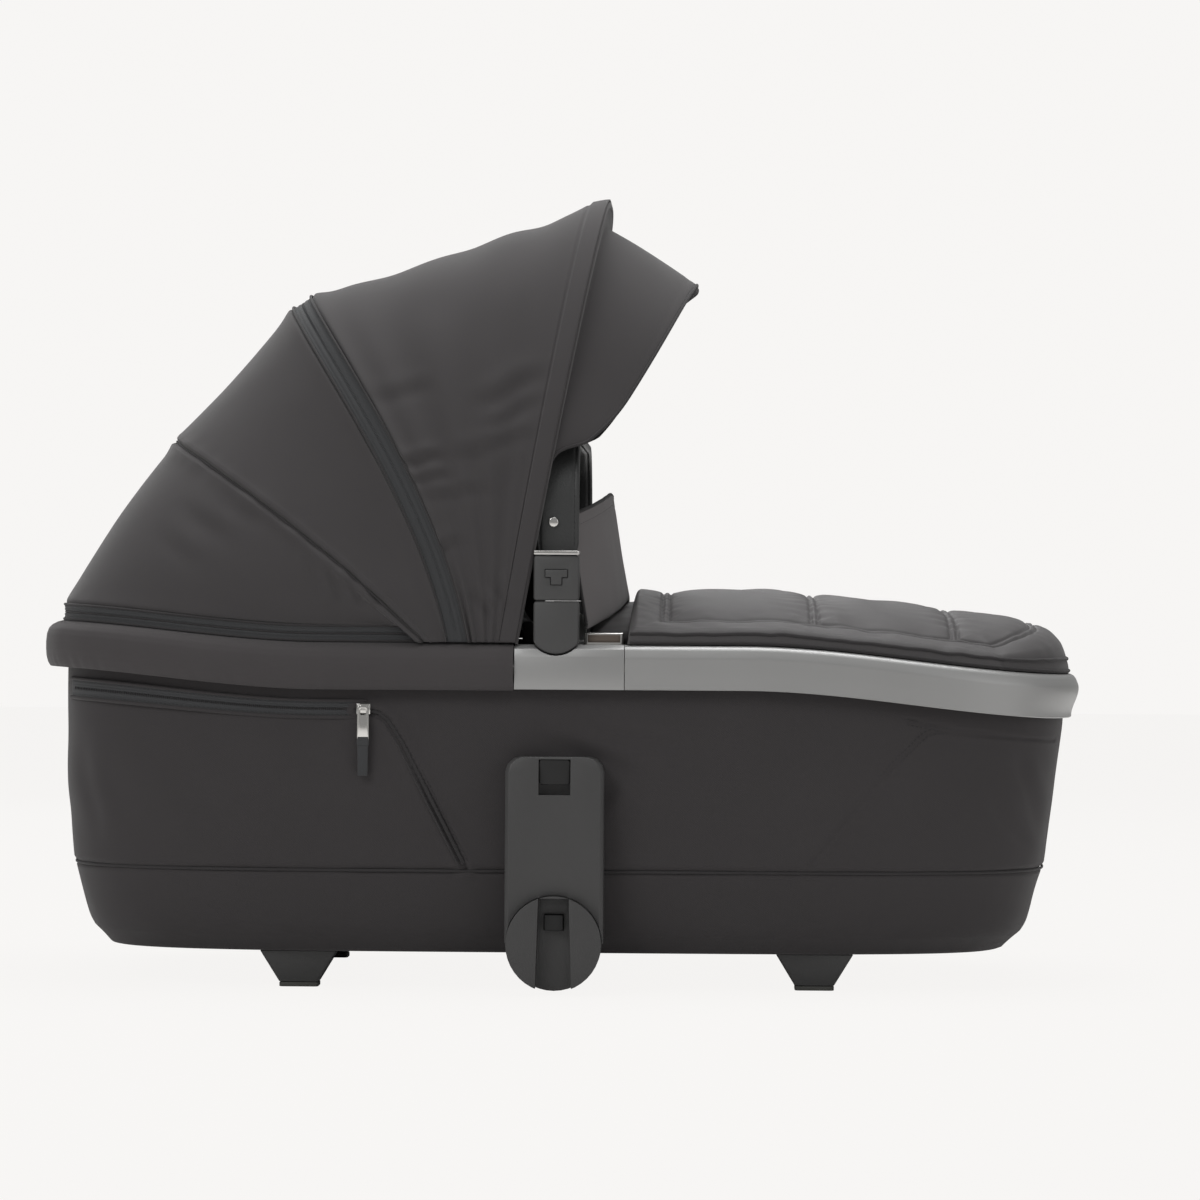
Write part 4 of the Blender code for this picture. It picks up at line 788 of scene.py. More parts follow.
hood_panel("hood_zip_tape_cloth", zip_place, 30, 0.015, ("hood_rear", "hood_middle"),
           lambda u, v: 1.0, 0.0008, tape_cloth, ("hood_zip_tape",))
coil_shape = bmesh.new()
coil_count = 620
for k in range(coil_count):
    v = 0.012 + 0.976 * k / coil_count
    spot = seam_point("zip", phase_at("zip", v), hood_skin, 0.0)
    ahead = seam_point("zip", phase_at("zip", v + 0.001), hood_skin, 0.0)
    normal = hood_normal(spot)
    bead(coil_shape, spot - 0.0014 * normal, (ahead - spot).normalized(), normal, (0.00055, 0.0016, 0.0006))
finish_piece("hood_zip_coil", coil_shape, tape_cloth, "hood_middle", sharp=85.0)


def seam_cord(name, seam, shift, lift, radius, body):
    path = []
    for k in range(401):
        point = seam_point(seam, phase_at(seam, 0.004 + 0.992 * k / 400), hood_skin, shift)
        path.append(point + lift * hood_normal(point))
    return cord(name, path, radius, piping_cloth, body)


for word, shift in (("front", -0.0086), ("rear", 0.0086)):
    seam_cord(f"hood_zip_piping_{word}", "zip", shift, 0.0002, 0.0011, "hood_middle")
seam_cord("hood_rear_piping", "rear", 0.0, -0.0006, 0.0008, "hood_rear")


# Rim zip: a tape standing on the head pad, with a coil in its middle and a cord at each edge.
rim_zip_start = -0.110
rim_zip_inset = 0.0100


def rim_tape_place(along, up):
    point = rim_line(along, rim_zip_inset, 0.0012 + 0.0132 * up, rim_zip_start)
    ribs = 0.0006 * abs(math.sin(math.pi * 4 * up)) - 0.0014 * bell(up, 0.08, 0.5)
    outwards = Vector((point.x, point.y, 0.0)).normalized()
    return point + (ribs - 0.0002) * outwards


rim_tape_shape = shaped_grid(420, 22, rim_tape_place, (1.0, 0.013), centre=(-0.1, 0.0, 0.28))
finish_piece("rim_zip_tape_cloth", rim_tape_shape, tape_cloth, "tub", ("rim_zip_tape",), 0.0009, 80.0)
for name, rise, out, radius in (
    ("rim_zip_cord_upper", 0.0140, 0.0002, 0.0010),
    ("rim_zip_cord_lower", 0.0020, 0.0004, 0.0012),
    ("rim_zip_coil_cord", 0.0079, -0.0006, 0.0007),
):
    path = [rim_line(k / 480, rim_zip_inset - out, rise, rim_zip_start) for k in range(481)]
    cord(name, path, radius, piping_cloth, "tub")


# The hood's front hem: cloth folded round the front bow, with the bow inside its sleeve.
hem_shift = -0.0062


def sleeve_place(u, v):
    angle = math.pi * (u - 0.5)
    point = seam_point("front", phase_at("front", v), 0.0, 0.0)
    across = Vector((-math.sin(front_angle), 0.0, math.cos(front_angle)))
    shift = hem_shift - 0.0022 * math.cos(angle)
    return point + (0.0040 * math.sin(angle) + 0.0003) * hood_normal(point) + shift * across


hood_panel("hood_front_sleeve", sleeve_place, 16, 0.012, ("hood_middle", "hood_front"),
           lambda u, v: 1.0, 0.0010)


def sleeve_back_place(u, v):
    point = seam_point("front", phase_at("front", v), 0.0, hem_shift + 0.0150 * u)
    return point - (0.0037 + 0.0006 * math.sin(math.pi * u)) * hood_normal(point)


hood_panel("hood_front_sleeve_back", sleeve_back_place, 10, 0.015, ("hood_middle", "hood_front"),
           lambda u, v: 1.0, 0.0008)


# Visor: a stiffened cloth peak sewn under the front hem, bound along its free edge. On the child's left it
# starts a little higher and is a little shorter.
visor_end_height = 0.424
front_top = hinge_height + front_radius * math.sin(front_angle)
visor_rise = (visor_end_height - hinge_height) / (front_radius * math.sin(front_angle))
visor_start = math.asin(visor_rise ** (1.0 / arch_power))
visor_steps = 2000
visor_phases = even_phases("front", visor_steps)[0]
visor_low = float(np.interp(visor_start, visor_phases, np.arange(visor_steps + 1))) / visor_steps
visor_out = 0.0012
visor_half_span = 0.2075 + visor_out
visor_seam_share = 0.12


def visor_place(u, v):
    along = visor_low + (1.0 - 2 * visor_low) * v
    phase = float(np.interp(along * visor_steps, np.arange(visor_steps + 1), visor_phases))
    forward = Vector((math.sin(front_angle), 0.0, -math.cos(front_angle)))
    reach = (front_radius + visor_out) * math.sin(phase) ** arch_power
    y = -visor_half_span * rounded(math.cos(phase), arch_power)
    radial = Vector((math.cos(front_angle), 0.0, math.sin(front_angle)))
    root = hinge + reach * radial + Vector((0.0, y, 0.0)) + 0.0081 * forward
    left = ease(y, 0.05, 0.16)
    height = (root.z - visor_end_height - 0.016 * left) / (front_top - visor_end_height)
    height = min(max(height, 0.0), 1.0)
    length = max(0.0892 * height ** 0.65 * ease(height, -0.05, 0.16), 0.0006)
    length *= 1.0 - 0.18 * left
    root.y *= 1.0 - 0.12 * u * height
    droop = math.radians(32.3)
    root -= radial * 0.018 * ease(height, 0.0, 0.45) * min(u / visor_seam_share, 1.0)
    u = max((u - visor_seam_share) / (1.0 - visor_seam_share), 0.0)
    bow = 0.0020 * math.sin(math.pi * u) * height
    ripple = 0.0010 * u * math.sin(11.0 * v * math.pi) * height
    ripple += 0.0008 * rough(root.y * 16, u * 2.0, 3.0)
    hem = -0.0009 * bell(u, 0.012, 0.90) if height > 0.05 else 0.0
    up = Vector((math.sin(droop), 0.0, math.cos(droop)))
    outwards = Vector((math.cos(droop), 0.0, -math.sin(droop)))
    return root + outwards * length * u + (bow + ripple + hem - 0.0005) * up


visor_shape = shaped_grid(40, 260, visor_place, (0.09, 0.60), centre=(0.0, 0.0, 0.40))
visor_piece = finish_piece("visor_cloth", visor_shape, hood_cloth, "hood_front", ("visor",), 0.0016, 80.0)
visor_edge = [visor_place(1.0, k / 300) for k in range(301)]
cord("visor_binding", visor_edge, 0.0013, piping_cloth, "hood_front")


# The head pad: a foam-filled cloth roll round the rim's head half, pulled under and seamed along its top.
def rim_section(stations, u):
    # A point of a closed outline given as (inset, depth) stations, at even steps along it.
    ring = [Vector(spot) for spot in stations] + [Vector(stations[0])]
    run = [0.0]
    for before, after in zip(ring, ring[1:]):
        run.append(run[-1] + (after - before).length)
    at = u * run[-1]
    index = min(max(int(np.searchsorted(run, at)) - 1, 0), len(ring) - 2)
    share = (at - run[index]) / (run[index + 1] - run[index])
    return ring[index].lerp(ring[index + 1], share)


pad_stations = [
    (0.0030, 0.0364), (0.0006, 0.0366), (-0.0014, 0.0335), (-0.0028, 0.0285), (-0.0035, 0.0225),
    (-0.0036, 0.0165), (-0.0030, 0.0105), (-0.0014, 0.0058), (0.0012, 0.0026), (0.0048, 0.0004),
    (0.0090, -0.0008), (0.0140, -0.0011), (0.0185, -0.0006), (0.0222, 0.0008), (0.0236, 0.0040),
    (0.0239, 0.0120), (0.0239, 0.0290), (0.0200, 0.0298), (0.0191, 0.0200), (0.0190, 0.0100),
    (0.0120, 0.0094), (0.0052, 0.0100), (0.0050, 0.0200), (0.0048, 0.0350),
]
pad_end_x = -0.0335
pad_turn = turn_at_x(pad_end_x)
pad_low = step_at(pad_turn)
pad_high = step_at(2 * math.pi - pad_turn)
pad_cloth = cloth_material("pad_cloth", (0.049, 0.045, 0.046), 1500.0, 0.3, 0.18, 0.10)


def pad_place(u, v):
    turn = turn_of(pad_low + (pad_high - pad_low) * v)
    inset, depth = rim_section(pad_stations, u % 1.0)
    x, y = oval(turn, rim_head_reach, rim_foot_reach, rim_half_width)
    outer = ease(0.010 - inset, 0.0, 0.010) * ease(depth, -0.001, 0.006)
    end = ease(min(v, 1 - v), 0.0, 0.012)
    swell = outer * (0.0008 * rough(x * 24, y * 24, depth * 30) + 0.0004 * rough(x * 70, y * 70, 1.0))
    swell += outer * 0.0013 * ease(-math.cos(turn), 0.2, 1.0) - outer * 0.0016 * (1 - end)
    rucks = 0.0006 * math.sin(520 * v) * rough(x * 40, y * 40, 5.0) * ease(depth, 0.022, 0.034) * outer
    inset -= swell + rucks
    x, y = oval(turn, rim_head_reach - inset, rim_foot_reach - inset, rim_half_width - inset)
    x = min(x, pad_end_x)
    return Vector((x, y, rim_top - depth + rim_sheer(x)))


pad_shape = shaped_grid(120, 540, pad_place, (0.125, 1.18), wrap=True, centre=(-0.1, 0.0, 0.26))
pad_piece = finish_piece("rim_pad_cloth", pad_shape, pad_cloth, "tub", ("rim_pad_head",), sharp=70.0)


# The rim's foot half and the handle mounts: satin silver mouldings with a bright bevel along their top edge.
def solid_material(name, colour, roughness, metallic=0.0, grain=0.0, grain_scale=900.0, specular=0.5):
    made = bpy.data.materials.new(name)
    made.use_nodes = True
    nodes, links = made.node_tree.nodes, made.node_tree.links
    shader = nodes["Principled BSDF"]
    shader.inputs["Base Color"].default_value = (*colour, 1.0)
    shader.inputs["Metallic"].default_value = metallic
    shader.inputs["Specular IOR Level"].default_value = specular
    place = nodes.new("ShaderNodeTexCoord").outputs["Object"]
    wear = noise_input(nodes, links, place, 30.0, 3.0)
    worn = math_node(nodes, links, "MULTIPLY_ADD", wear.outputs["Fac"], 0.08, roughness - 0.04)
    links.new(worn, shader.inputs["Roughness"])
    if grain:
        grains = noise_input(nodes, links, place, grain_scale, 1.0)
        relief = nodes.new("ShaderNodeBump")
        relief.inputs["Strength"].default_value = grain
        relief.inputs["Distance"].default_value = 0.0004
        links.new(grains.outputs["Fac"], relief.inputs["Height"])
        links.new(relief.outputs[0], shader.inputs["Normal"])
    return made


silver_finish = solid_material("satin_silver", (0.31, 0.31, 0.307), 0.40, 0.55, 0.06, 1600.0)
band_stations = [
    (0.0006, 0.0355), (0.0000, 0.0350), (-0.0001, 0.0230), (0.0000, 0.0104), (0.0003, 0.0092),
    (0.0012, 0.0066), (0.0024, 0.0038), (0.0040, 0.0018), (0.0060, 0.0007), (0.0082, 0.0002),
    (0.0150, 0.0000), (0.0200, 0.0001), (0.0226, 0.0008), (0.0237, 0.0022), (0.0240, 0.0050),
    (0.0240, 0.0290), (0.0236, 0.0298), (0.0200, 0.0299), (0.0191, 0.0290), (0.0190, 0.0100),
    (0.0120, 0.0097), (0.0050, 0.0100), (0.0048, 0.0345), (0.0042, 0.0355),
]
band_end_x = 0.0546
band_high = step_at(turn_at_x(band_end_x))


def band_place(u, v):
    step = band_high * (2 * v - 1)
    turn = math.copysign(turn_of(abs(step)), step)
    inset, depth = rim_section(band_stations, u % 1.0)
    x, y = oval(turn, rim_head_reach - inset, rim_foot_reach - inset, rim_half_width - inset)
    x = band_end_x if v in (0.0, 1.0) else max(x, band_end_x)
    tuck = 0.0060 * ease(depth, 0.012, 0.034) * ease(x, 0.36, 0.42)
    return Vector((x - tuck, y, rim_top - depth + rim_sheer(x)))


band_shape = shaped_grid(150, 340, band_place, (0.12, 1.0), wrap=True, centre=(0.1, 0.0, 0.26))
finish_piece("rim_band_moulding", band_shape, silver_finish, "tub", ("rim_band_foot",), sharp=32.0)


def round_edges(shape, edges, width, segments=3):
    bmesh.ops.bevel(shape, geom=edges, offset=width, segments=segments, profile=0.5, affect="EDGES",
                    clamp_overlap=True, material=-1)


def rounded_block(shape, low, high, width, segments=3):
    centre = (Vector(low) + Vector(high)) / 2
    size = Vector(high) - Vector(low)
    place = Matrix.Translation(centre) @ Matrix.Diagonal((*size, 1.0))
    made = bmesh.ops.create_cube(shape, size=1.0, matrix=place)
    edges = list({edge for vertex in made["verts"] for edge in vertex.link_edges})
    round_edges(shape, edges, width, segments)


def edges_over(shape, angle):
    # The edges whose two faces meet at more than an angle in degrees.
    limit = math.radians(angle)
    return [edge for edge in shape.edges if len(edge.link_faces) == 2 and edge.calc_face_angle(0.0) > limit]


def softened(node, finish, body, width, segments=3):
    # A CAD solid's own shape with its hard edges rounded, as moulded or pressed edges are.
    shape = bmesh.new()
    shape.from_mesh(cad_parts[node].data)
    bmesh.ops.remove_doubles(shape, verts=shape.verts, dist=2e-5)
    bmesh.ops.dissolve_limit(shape, angle_limit=math.radians(1.0), verts=shape.verts, edges=shape.edges)
    shape.normal_update()
    round_edges(shape, edges_over(shape, 30.0), width, segments)
    return finish_piece(f"{node}_moulding", shape, finish, body, (node,), sharp=34.0)


moulded_grey = solid_material("moulded_grey", (0.045, 0.045, 0.045), 0.55, 0.0, 0.35, 1500.0)
adapter_grey = solid_material("adapter_grey", (0.040, 0.0395, 0.0395), 0.50, 0.0, 0.30, 1400.0)
rubber_finish = solid_material("rubber_foot", (0.055, 0.055, 0.050), 0.72, 0.0, 0.3, 700.0)
chrome_finish = solid_material("chrome", (0.62, 0.61, 0.59), 0.16, 1.0)
steel_finish = solid_material("steel", (0.42, 0.42, 0.41), 0.34, 1.0)
window_finish = solid_material("catch_window", (0.20, 0.165, 0.14), 0.30, 0.8)
bow_finish = solid_material("bow_metal", (0.30, 0.30, 0.30), 0.35, 1.0)
for side, word in ((-1, "right"), (1, "left")):
    softened(f"handle_mount_{word}", silver_finish, "tub", 0.0009)
    softened(f"rim_catch_{word}", chrome_finish, f"rim_button_{word}", 0.0004, 2)
    catch_low, catch_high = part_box(f"rim_catch_{word}")
    outer_y = catch_low.y if side < 0 else catch_high.y
    window = bmesh.new()
    middle = Vector(((catch_low.x + catch_high.x) / 2, outer_y - 0.0003 * side, (rim_top + catch_high.z) / 2))
    reach = Vector((catch_high.x - catch_low.x - 0.0056, 0.0008, catch_high.z - rim_top - 0.0034))
    rounded_block(window, middle - reach / 2, middle + reach / 2, 0.0003, 2)
    finish_piece(f"rim_catch_window_{word}", window, window_finish, f"rim_button_{word}", sharp=40.0)
    softened(f"hood_hinge_{word}", moulded_grey, "tub", 0.0006)
    for end in ("head", "toe"):
        softened(f"foot_{end}_{word}", moulded_grey, "tub", 0.0008)
        softened(f"foot_pad_{end}_{word}", rubber_finish, "tub", 0.0005)

# Bows: flat metal strips inside the sleeves, bent round in one plane with an eye at each end.
eye_radius = 0.0058
eye_half_thickness = 0.0016
for seam, radius, half_span, body in (
    ("front", front_radius, 0.2075, "hood_front"), ("zip", 0.3205, 0.2015, "hood_middle"),
    ("rear", 0.3165, 0.1940, "hood_rear"),
):
    angle = hood_seams[seam][0]
    radial = Vector((math.cos(angle), 0.0, math.sin(angle)))
    across = Vector((-math.sin(angle), 0.0, math.cos(angle)))
    eye_phase = (0.0030 / radius) ** (1.0 / arch_power)

    def bow_place(u, v):
        phase = eye_phase + (math.pi - 2 * eye_phase) * v
        turn = 2 * math.pi * u
        wide = 0.0052 * rounded(math.cos(turn), 0.35)
        thick = 0.0017 * rounded(math.sin(turn), 0.35)
        reach = (radius + thick) * math.sin(phase) ** arch_power
        y = -(half_span + thick) * rounded(math.cos(phase), arch_power)
        return hinge + reach * radial + Vector((0.0, y, 0.0)) + wide * across

    bow_shape = shaped_grid(24, 280, bow_place, (0.03, 0.9), wrap=True, centre=(0.0, 0.0, 0.3))
    for end in (-1, 1):
        place = Matrix.Translation((hinge.x, end * half_span, hinge.z))
        place = place @ Matrix.Rotation(math.radians(90), 4, "X")
        bmesh.ops.create_cone(bow_shape, cap_ends=True, segments=40, radius1=eye_radius, radius2=eye_radius,
                              depth=2 * eye_half_thickness, matrix=place)
    finish_piece(f"{seam}_bow_strip", bow_shape, bow_finish, body, (f"{seam}_bow",), sharp=50.0)

# Carry handle: two moulded housings on pins, a bright collar over each, and a strap padded in grained cover.
for side, word in ((-1, "right"), (1, "left")):
    softened(f"handle_base_{word}", moulded_grey, "handle", 0.0004, 2)
    softened(f"handle_housing_{word}", moulded_grey, "handle", 0.0004, 2)
    softened(f"handle_release_{word}", moulded_grey, f"handle_button_{word}", 0.0005, 2)
    softened(f"handle_band_{word}", chrome_finish, "handle", 0.0005)
    softened(f"handle_rivet_{word}", chrome_finish, "handle", 0.0003, 2)
    softened(f"handle_pin_{word}", steel_finish, "handle", 0.0003, 2)
grained_cover = solid_material("grained_cover", (0.029, 0.030, 0.030), 0.46, 0.0, 0.85, 620.0, specular=0.4)
strap_half_thickness = 0.0046
strap_half_span = 0.1965
strap_low = 0.3511
strap_top = 0.4477 - strap_half_thickness
strap_corner = 0.056
corner_y, corner_z = strap_corner - strap_half_span, strap_top - strap_corner
strap_spots = [(-strap_half_span, strap_low + (corner_z - strap_low) * k / 30) for k in range(30)]
for k in range(61):
    turn = math.pi - math.pi / 2 * k / 60
    strap_spots.append((corner_y + strap_corner * math.cos(turn), corner_z + strap_corner * math.sin(turn)))
strap_spots += [(corner_y - corner_y * k / 60, strap_top) for k in range(1, 61)]
strap_spots += [(-y, z) for y, z in reversed(strap_spots[:-1])]
strap_stitch_line = 0.0138


def strap_spot(v):
    # A point of the strap's middle line, and the direction out of the arch there.
    at = v * (len(strap_spots) - 1)
    index = min(int(at), len(strap_spots) - 2)
    (y0, z0), (y1, z1) = strap_spots[index], strap_spots[index + 1]
    share = at - index
    along = Vector((0.0, y1 - y0, z1 - z0)).normalized()
    spot = Vector((0.0, y0 + (y1 - y0) * share, z0 + (z1 - z0) * share))
    return spot, Vector((0.0, -along.z, along.y))


def strap_place(u, v):
    spot, across = strap_spot(v)
    turn = 2 * math.pi * u
    wide = 0.01735 * rounded(math.cos(turn), 0.38)
    thick = strap_half_thickness * rounded(math.sin(turn), 0.62)
    edge_dent = 0.0008 * bell(abs(wide), 0.0010, strap_stitch_line)
    end_pinch = 1.0 - 0.06 * (1.0 - ease(min(v, 1 - v), 0.0, 0.02))
    thick = math.copysign(max(abs(thick) - edge_dent, 0.0), thick)
    thick += 0.0003 * rough(spot.y * 30, spot.z * 30, wide * 60)
    return spot + Vector((wide * end_pinch, 0.0, 0.0)) + thick * across


strap_shape = shaped_grid(80, 360, strap_place, (0.088, 0.55), wrap=True, centre=(0.0, 0.0, 0.30))
strap_piece = finish_piece("handle_strap", strap_shape, grained_cover, "handle", ("handle_arch",), sharp=70.0)
for face, face_word in ((1, "outer"), (-1, "inner")):
    for edge, edge_word in ((-1, "rear"), (1, "front")):
        path, normals = [], []
        for k in range(300):
            spot, across = strap_spot(0.01 + 0.98 * k / 299)
            path.append(spot + Vector((edge * strap_stitch_line, 0.0, 0.0)) + face * 0.00345 * across)
            normals.append(face * across)
        stitch_row(f"handle_stitch_{face_word}_{edge_word}", path, normals, "handle", 0.0042, 0.0032)

# Adapters: moulded plates on the sides, each with a round slotted socket, a sprung bolt and a dark release
# key.
key_black = solid_material("key_black", (0.003, 0.003, 0.003), 0.62)
for side, word in ((-1, "right"), (1, "left")):
    softened(f"adapter_plate_{word}", adapter_grey, "tub", 0.0010)
    softened(f"adapter_socket_{word}", adapter_grey, "tub", 0.0012)
    softened(f"adapter_release_{word}", key_black, f"adapter_button_{word}", 0.0008)
    softened(f"adapter_latch_{word}", key_black, f"adapter_bolt_{word}", 0.0008)


# The apron: a quilted cover over the foot half. Two cloth skins over thin wadding are sewn through in a
# border and along two cross seams, and a cord is sewn round its edge.
apron_cloth = cloth_material("apron_cloth", (0.043, 0.040, 0.041), 1700.0, 0.22, 0.16, 0.08)
apron_shader = apron_cloth.node_tree.nodes["Principled BSDF"]
for link in list(apron_shader.inputs["Roughness"].links):
    apron_cloth.node_tree.links.remove(link)
apron_shader.inputs["Roughness"].default_value = 0.60
apron_shader.inputs["Specular IOR Level"].default_value = 0.4
apron_start = 0.0562
apron_foot = rim_foot_reach - 0.0075
apron_head = rim_head_reach - 0.0075
apron_half_width = 0.2075
apron_centre = (apron_foot - apron_head) / 2
apron_half_length = (apron_foot + apron_head) / 2
apron_seams = (0.2052, 0.3173)
apron_border = 0.030


apron_edge_round = 0.0075


def plan_scale(s, t):
    # The factor that moves a point of a square in, so that the square fills the rounded plan outline.
    norm = (abs(s) ** plan_power + abs(t) ** plan_power) ** (1.0 / plan_power)
    return max(abs(s), abs(t), 1e-6) / max(norm, 1e-6)


def round_over(edge, width):
    # Rises from 0 at an edge to 1 at a width from it, as a quarter circle does.
    return math.sqrt(max(1.0 - (1.0 - min(edge / width, 1.0)) ** 2, 0.0))


def apron_plan(x_line, t):
    s = (x_line - apron_centre) / apron_half_length
    squash = 1.0 + (plan_scale(s, t) - 1.0) * ease(max(abs(s), abs(t)), 0.55, 1.0)
    dome = (1.0 - abs(t) ** 2.6) * (1.0 - abs(s) ** 34)
    return apron_centre + apron_half_length * s * squash, apron_half_width * t * squash, dome


def apron_top(x_line, t, proud=0.0):
    x, y, dome = apron_plan(x_line, t)
    from_side = (1.0 - abs(t)) * apron_half_width
    from_foot = apron_foot - x_line
    from_head = x_line - apron_start
    edge = min(from_side, from_foot, from_head)
    height = 0.0100 + 0.0335 * dome
    inside = edge > apron_border
    cross = min(abs(x - line) for line in apron_seams)
    seam = min(abs(edge - apron_border), 0.05)
    if inside:
        seam = min(seam, cross)
    puff = 0.0048 * (1.0 - math.exp(-seam / 0.0095)) - 0.0032
    ridge = 0.0016 * bell(seam, 0.0016)
    groove = -0.0014 * bell(seam, 0.0012, 0.0030)
    puckers = 0.0011 * rough(x * 95, y * 95, 2.0) * math.exp(-seam / 0.010)
    if inside:
        puckers += 0.0008 * math.sin(y * 330 + 3.0 * rough(x * 20, y * 20, 0.0)) * math.exp(-cross / 0.012)
    folds = 0.0009 * rough(x * 15, y * 9, 6.0) + 0.0006 * rough(x * 34, y * 20, 8.0)
    drag = 0.0006 * math.sin(120 * x + 40 * y + 2.5 * rough(x * 10, y * 10, 1.0)) * ease(edge, 0.0, 0.03)
    ruffle = 0.0011 * rough(x * 70, y * 70, 12.0) * (1.0 - ease(edge, 0.0, 0.02))
    fall = round_over(edge, apron_edge_round)
    z = height + puff + ridge + groove + puckers + folds + drag + ruffle
    return Vector((x, y, rim_top + rim_sheer(x) + 0.0006 + (z - 0.0006) * fall + proud))


def apron_place(u, v):
    return apron_top(apron_start + (apron_foot - apron_start) * u, 2.0 * v - 1.0)


apron_shape = shaped_grid(350, 390, apron_place, (0.36, 0.42), centre=(0.2, 0.0, 0.0))
apron_piece = finish_piece("apron_quilt", apron_shape, apron_cloth, "tub", ("apron",), sharp=80.0)


def apron_lining_place(u, v):
    x_line = apron_start + 0.0008 + (apron_foot - 0.0016 - apron_start) * u
    x, y, dome = apron_plan(x_line, 0.996 * (2.0 * v - 1.0))
    rise = max(0.0335 * dome - 0.0020, 0.0004) + 0.0006 * rough(x * 18, y * 18, 1)
    return Vector((x, y, rim_top + rim_sheer(x) + rise))


apron_lining = shaped_grid(120, 130, apron_lining_place, (0.36, 0.42), centre=(0.2, 0.0, 0.0))
apron_lining_piece = finish_piece("apron_lining", apron_lining, body_cloth, "tub", sharp=80.0)


def apron_edge_path(inset, lift):
    # Along the apron's edge from the child's right side round the foot end to the left.
    points = []
    side_run = [(x, -1.0) for x in np.linspace(0.0585, apron_foot - inset, 150)]
    foot_run = [(apron_foot - inset, t) for t in np.linspace(-1.0, 1.0, 181)[1:-1]]
    share = inset / apron_half_width
    for x_line, t in side_run + foot_run + [(x, 1.0) for x, _ in reversed(side_run)]:
        t = max(min(t, 1.0 - share), share - 1.0)
        spot = apron_top(x_line, t)
        points.append(Vector((spot.x, spot.y, spot.z + lift)))
    return points


cord("apron_edge_cord", apron_edge_path(0.0022, 0.0002), 0.0016, piping_cloth, "tub")
lower_path = apron_edge_path(0.0004, 0.0)
lower_path = [Vector((spot.x, spot.y, rim_top + rim_sheer(spot.x) + 0.0022)) for spot in lower_path]
cord("apron_lower_cord", lower_path, 0.0013, piping_cloth, "tub")
for index, line in enumerate(apron_seams):
    for shift, word in ((-0.0030, "aft"), (0.0030, "fore")):
        path = []
        for t in np.linspace(-0.84, 0.84, 160):
            x_line = line + shift
            for _ in range(8):
                x_line += line + shift - apron_plan(x_line, t)[0]
            path.append(apron_top(x_line, t, stitch_lift))
        stitch_row(f"apron_stitch_{index}_{word}", path, Vector((0, 0, 1)), "tub", 0.0040, 0.0030)
for inset, word in ((apron_border - 0.0030, "outer"), (apron_border + 0.0030, "inner")):
    share = 1.0 - inset / apron_half_width
    head, foot = apron_start + inset, apron_foot - inset
    spots = [(x, -share) for x in np.linspace(head, foot, 140)]
    spots += [(foot, t) for t in np.linspace(-share, share, 150)[1:-1]]
    spots += [(x, share) for x in np.linspace(foot, head, 140)]
    spots += [(head, t) for t in np.linspace(share, -share, 150)[1:]]
    path = [apron_top(x, t, stitch_lift) for x, t in spots]
    stitch_row(f"apron_stitch_border_{word}", path, Vector((0, 0, 1)), "tub", 0.0040, 0.0030)


# Apron head roll: the apron's wadded cloth carries on under the wind flap, between the two handle mounts.
flap_foot_rise = 0.0355


def head_roll_place(u, v):
    share = 2.0 * v - 1.0
    y = 0.159 * share
    x = 0.0585 - 0.0345 * u
    top = rim_top + flap_foot_rise * apron_plan(0.056, y / apron_half_width)[2] - 0.0016 - 0.004 * u
    fall = (1.0 - abs(share) ** 14) ** (1.0 / 5.0) * (1.0 - u ** 9) ** (1.0 / 4.0)
    base = rim_top - 0.004
    ruck = 0.0010 * rough(x * 40, y * 22, 6.0) + 0.0006 * rough(x * 90, y * 60, 2.0)
    return Vector((x, y, base + (top - base) * fall + ruck * fall))


head_roll = shaped_grid(48, 220, head_roll_place, (0.036, 0.32), centre=(0.04, 0.0, 0.0))
head_roll_piece = finish_piece("apron_head_roll", head_roll, apron_cloth, "tub", thickness=0.0014, sharp=80.0)


# Wind flap: a double cloth panel that stands at the apron's head edge and wraps back at both sides.
# The flap's cloth colour is painted lighter than the other cloth pieces, to stand for the light the flap
# catches from the front and right: painted light.
flap_cloth_painted_light = cloth_material("flap_cloth_painted_light", (0.135, 0.126, 0.127), 1500.0, 0.35, 0.22, 0.14)


def flap_place(u, v):
    share = 2.0 * v - 1.0
    y = 0.176 * share
    dome = apron_plan(0.056, y / apron_half_width)[2]
    low = max(rim_top + flap_foot_rise * dome, 0.2887)
    high = 0.3998 - 0.021 * abs(share) ** 2.5
    x = 0.05445 - 0.030 * abs(share) ** 4 - 0.015 * u
    spot = Vector((x, y, low + (high - low) * u))
    ruck = 0.0012 * rough(y * 14, spot.z * 10, 3.0) + 0.0006 * rough(y * 45, spot.z * 30, 9.0)
    hem = -0.0007 * bell(u, 0.012, 0.90) - 0.0008 * bell(u, 0.03)
    return spot + Vector((ruck + hem, 0.0, 0.0))


flap_shape = shaped_grid(52, 240, flap_place, (0.11, 0.37), centre=(-0.2, 0.0, 0.33))
flap_piece = finish_piece("wind_flap_cloth", flap_shape, flap_cloth_painted_light, None, ("wind_flap",), 0.0022, 70.0)
flap_edge = [flap_place(u, 0.0) for u in np.linspace(0.02, 1.0, 50)]
flap_edge += [flap_place(1.0, v) for v in np.linspace(0.0, 1.0, 321)[1:]]
flap_edge += [flap_place(u, 1.0) for u in np.linspace(1.0, 0.02, 50)[1:]]
flap_edge = [spot + Vector((-0.0011, 0.0, 0.0)) for spot in flap_edge]
flap_binding = cord("wind_flap_binding", flap_edge, 0.0015, piping_cloth, None)
path = [flap_place(0.90, v) + Vector((stitch_lift, 0.0, 0.0)) for v in np.linspace(0.03, 0.97, 200)]
flap_stitches = stitch_row("wind_flap_stitch", path, Vector((1, 0, 0)), None, 0.0040, 0.0030)
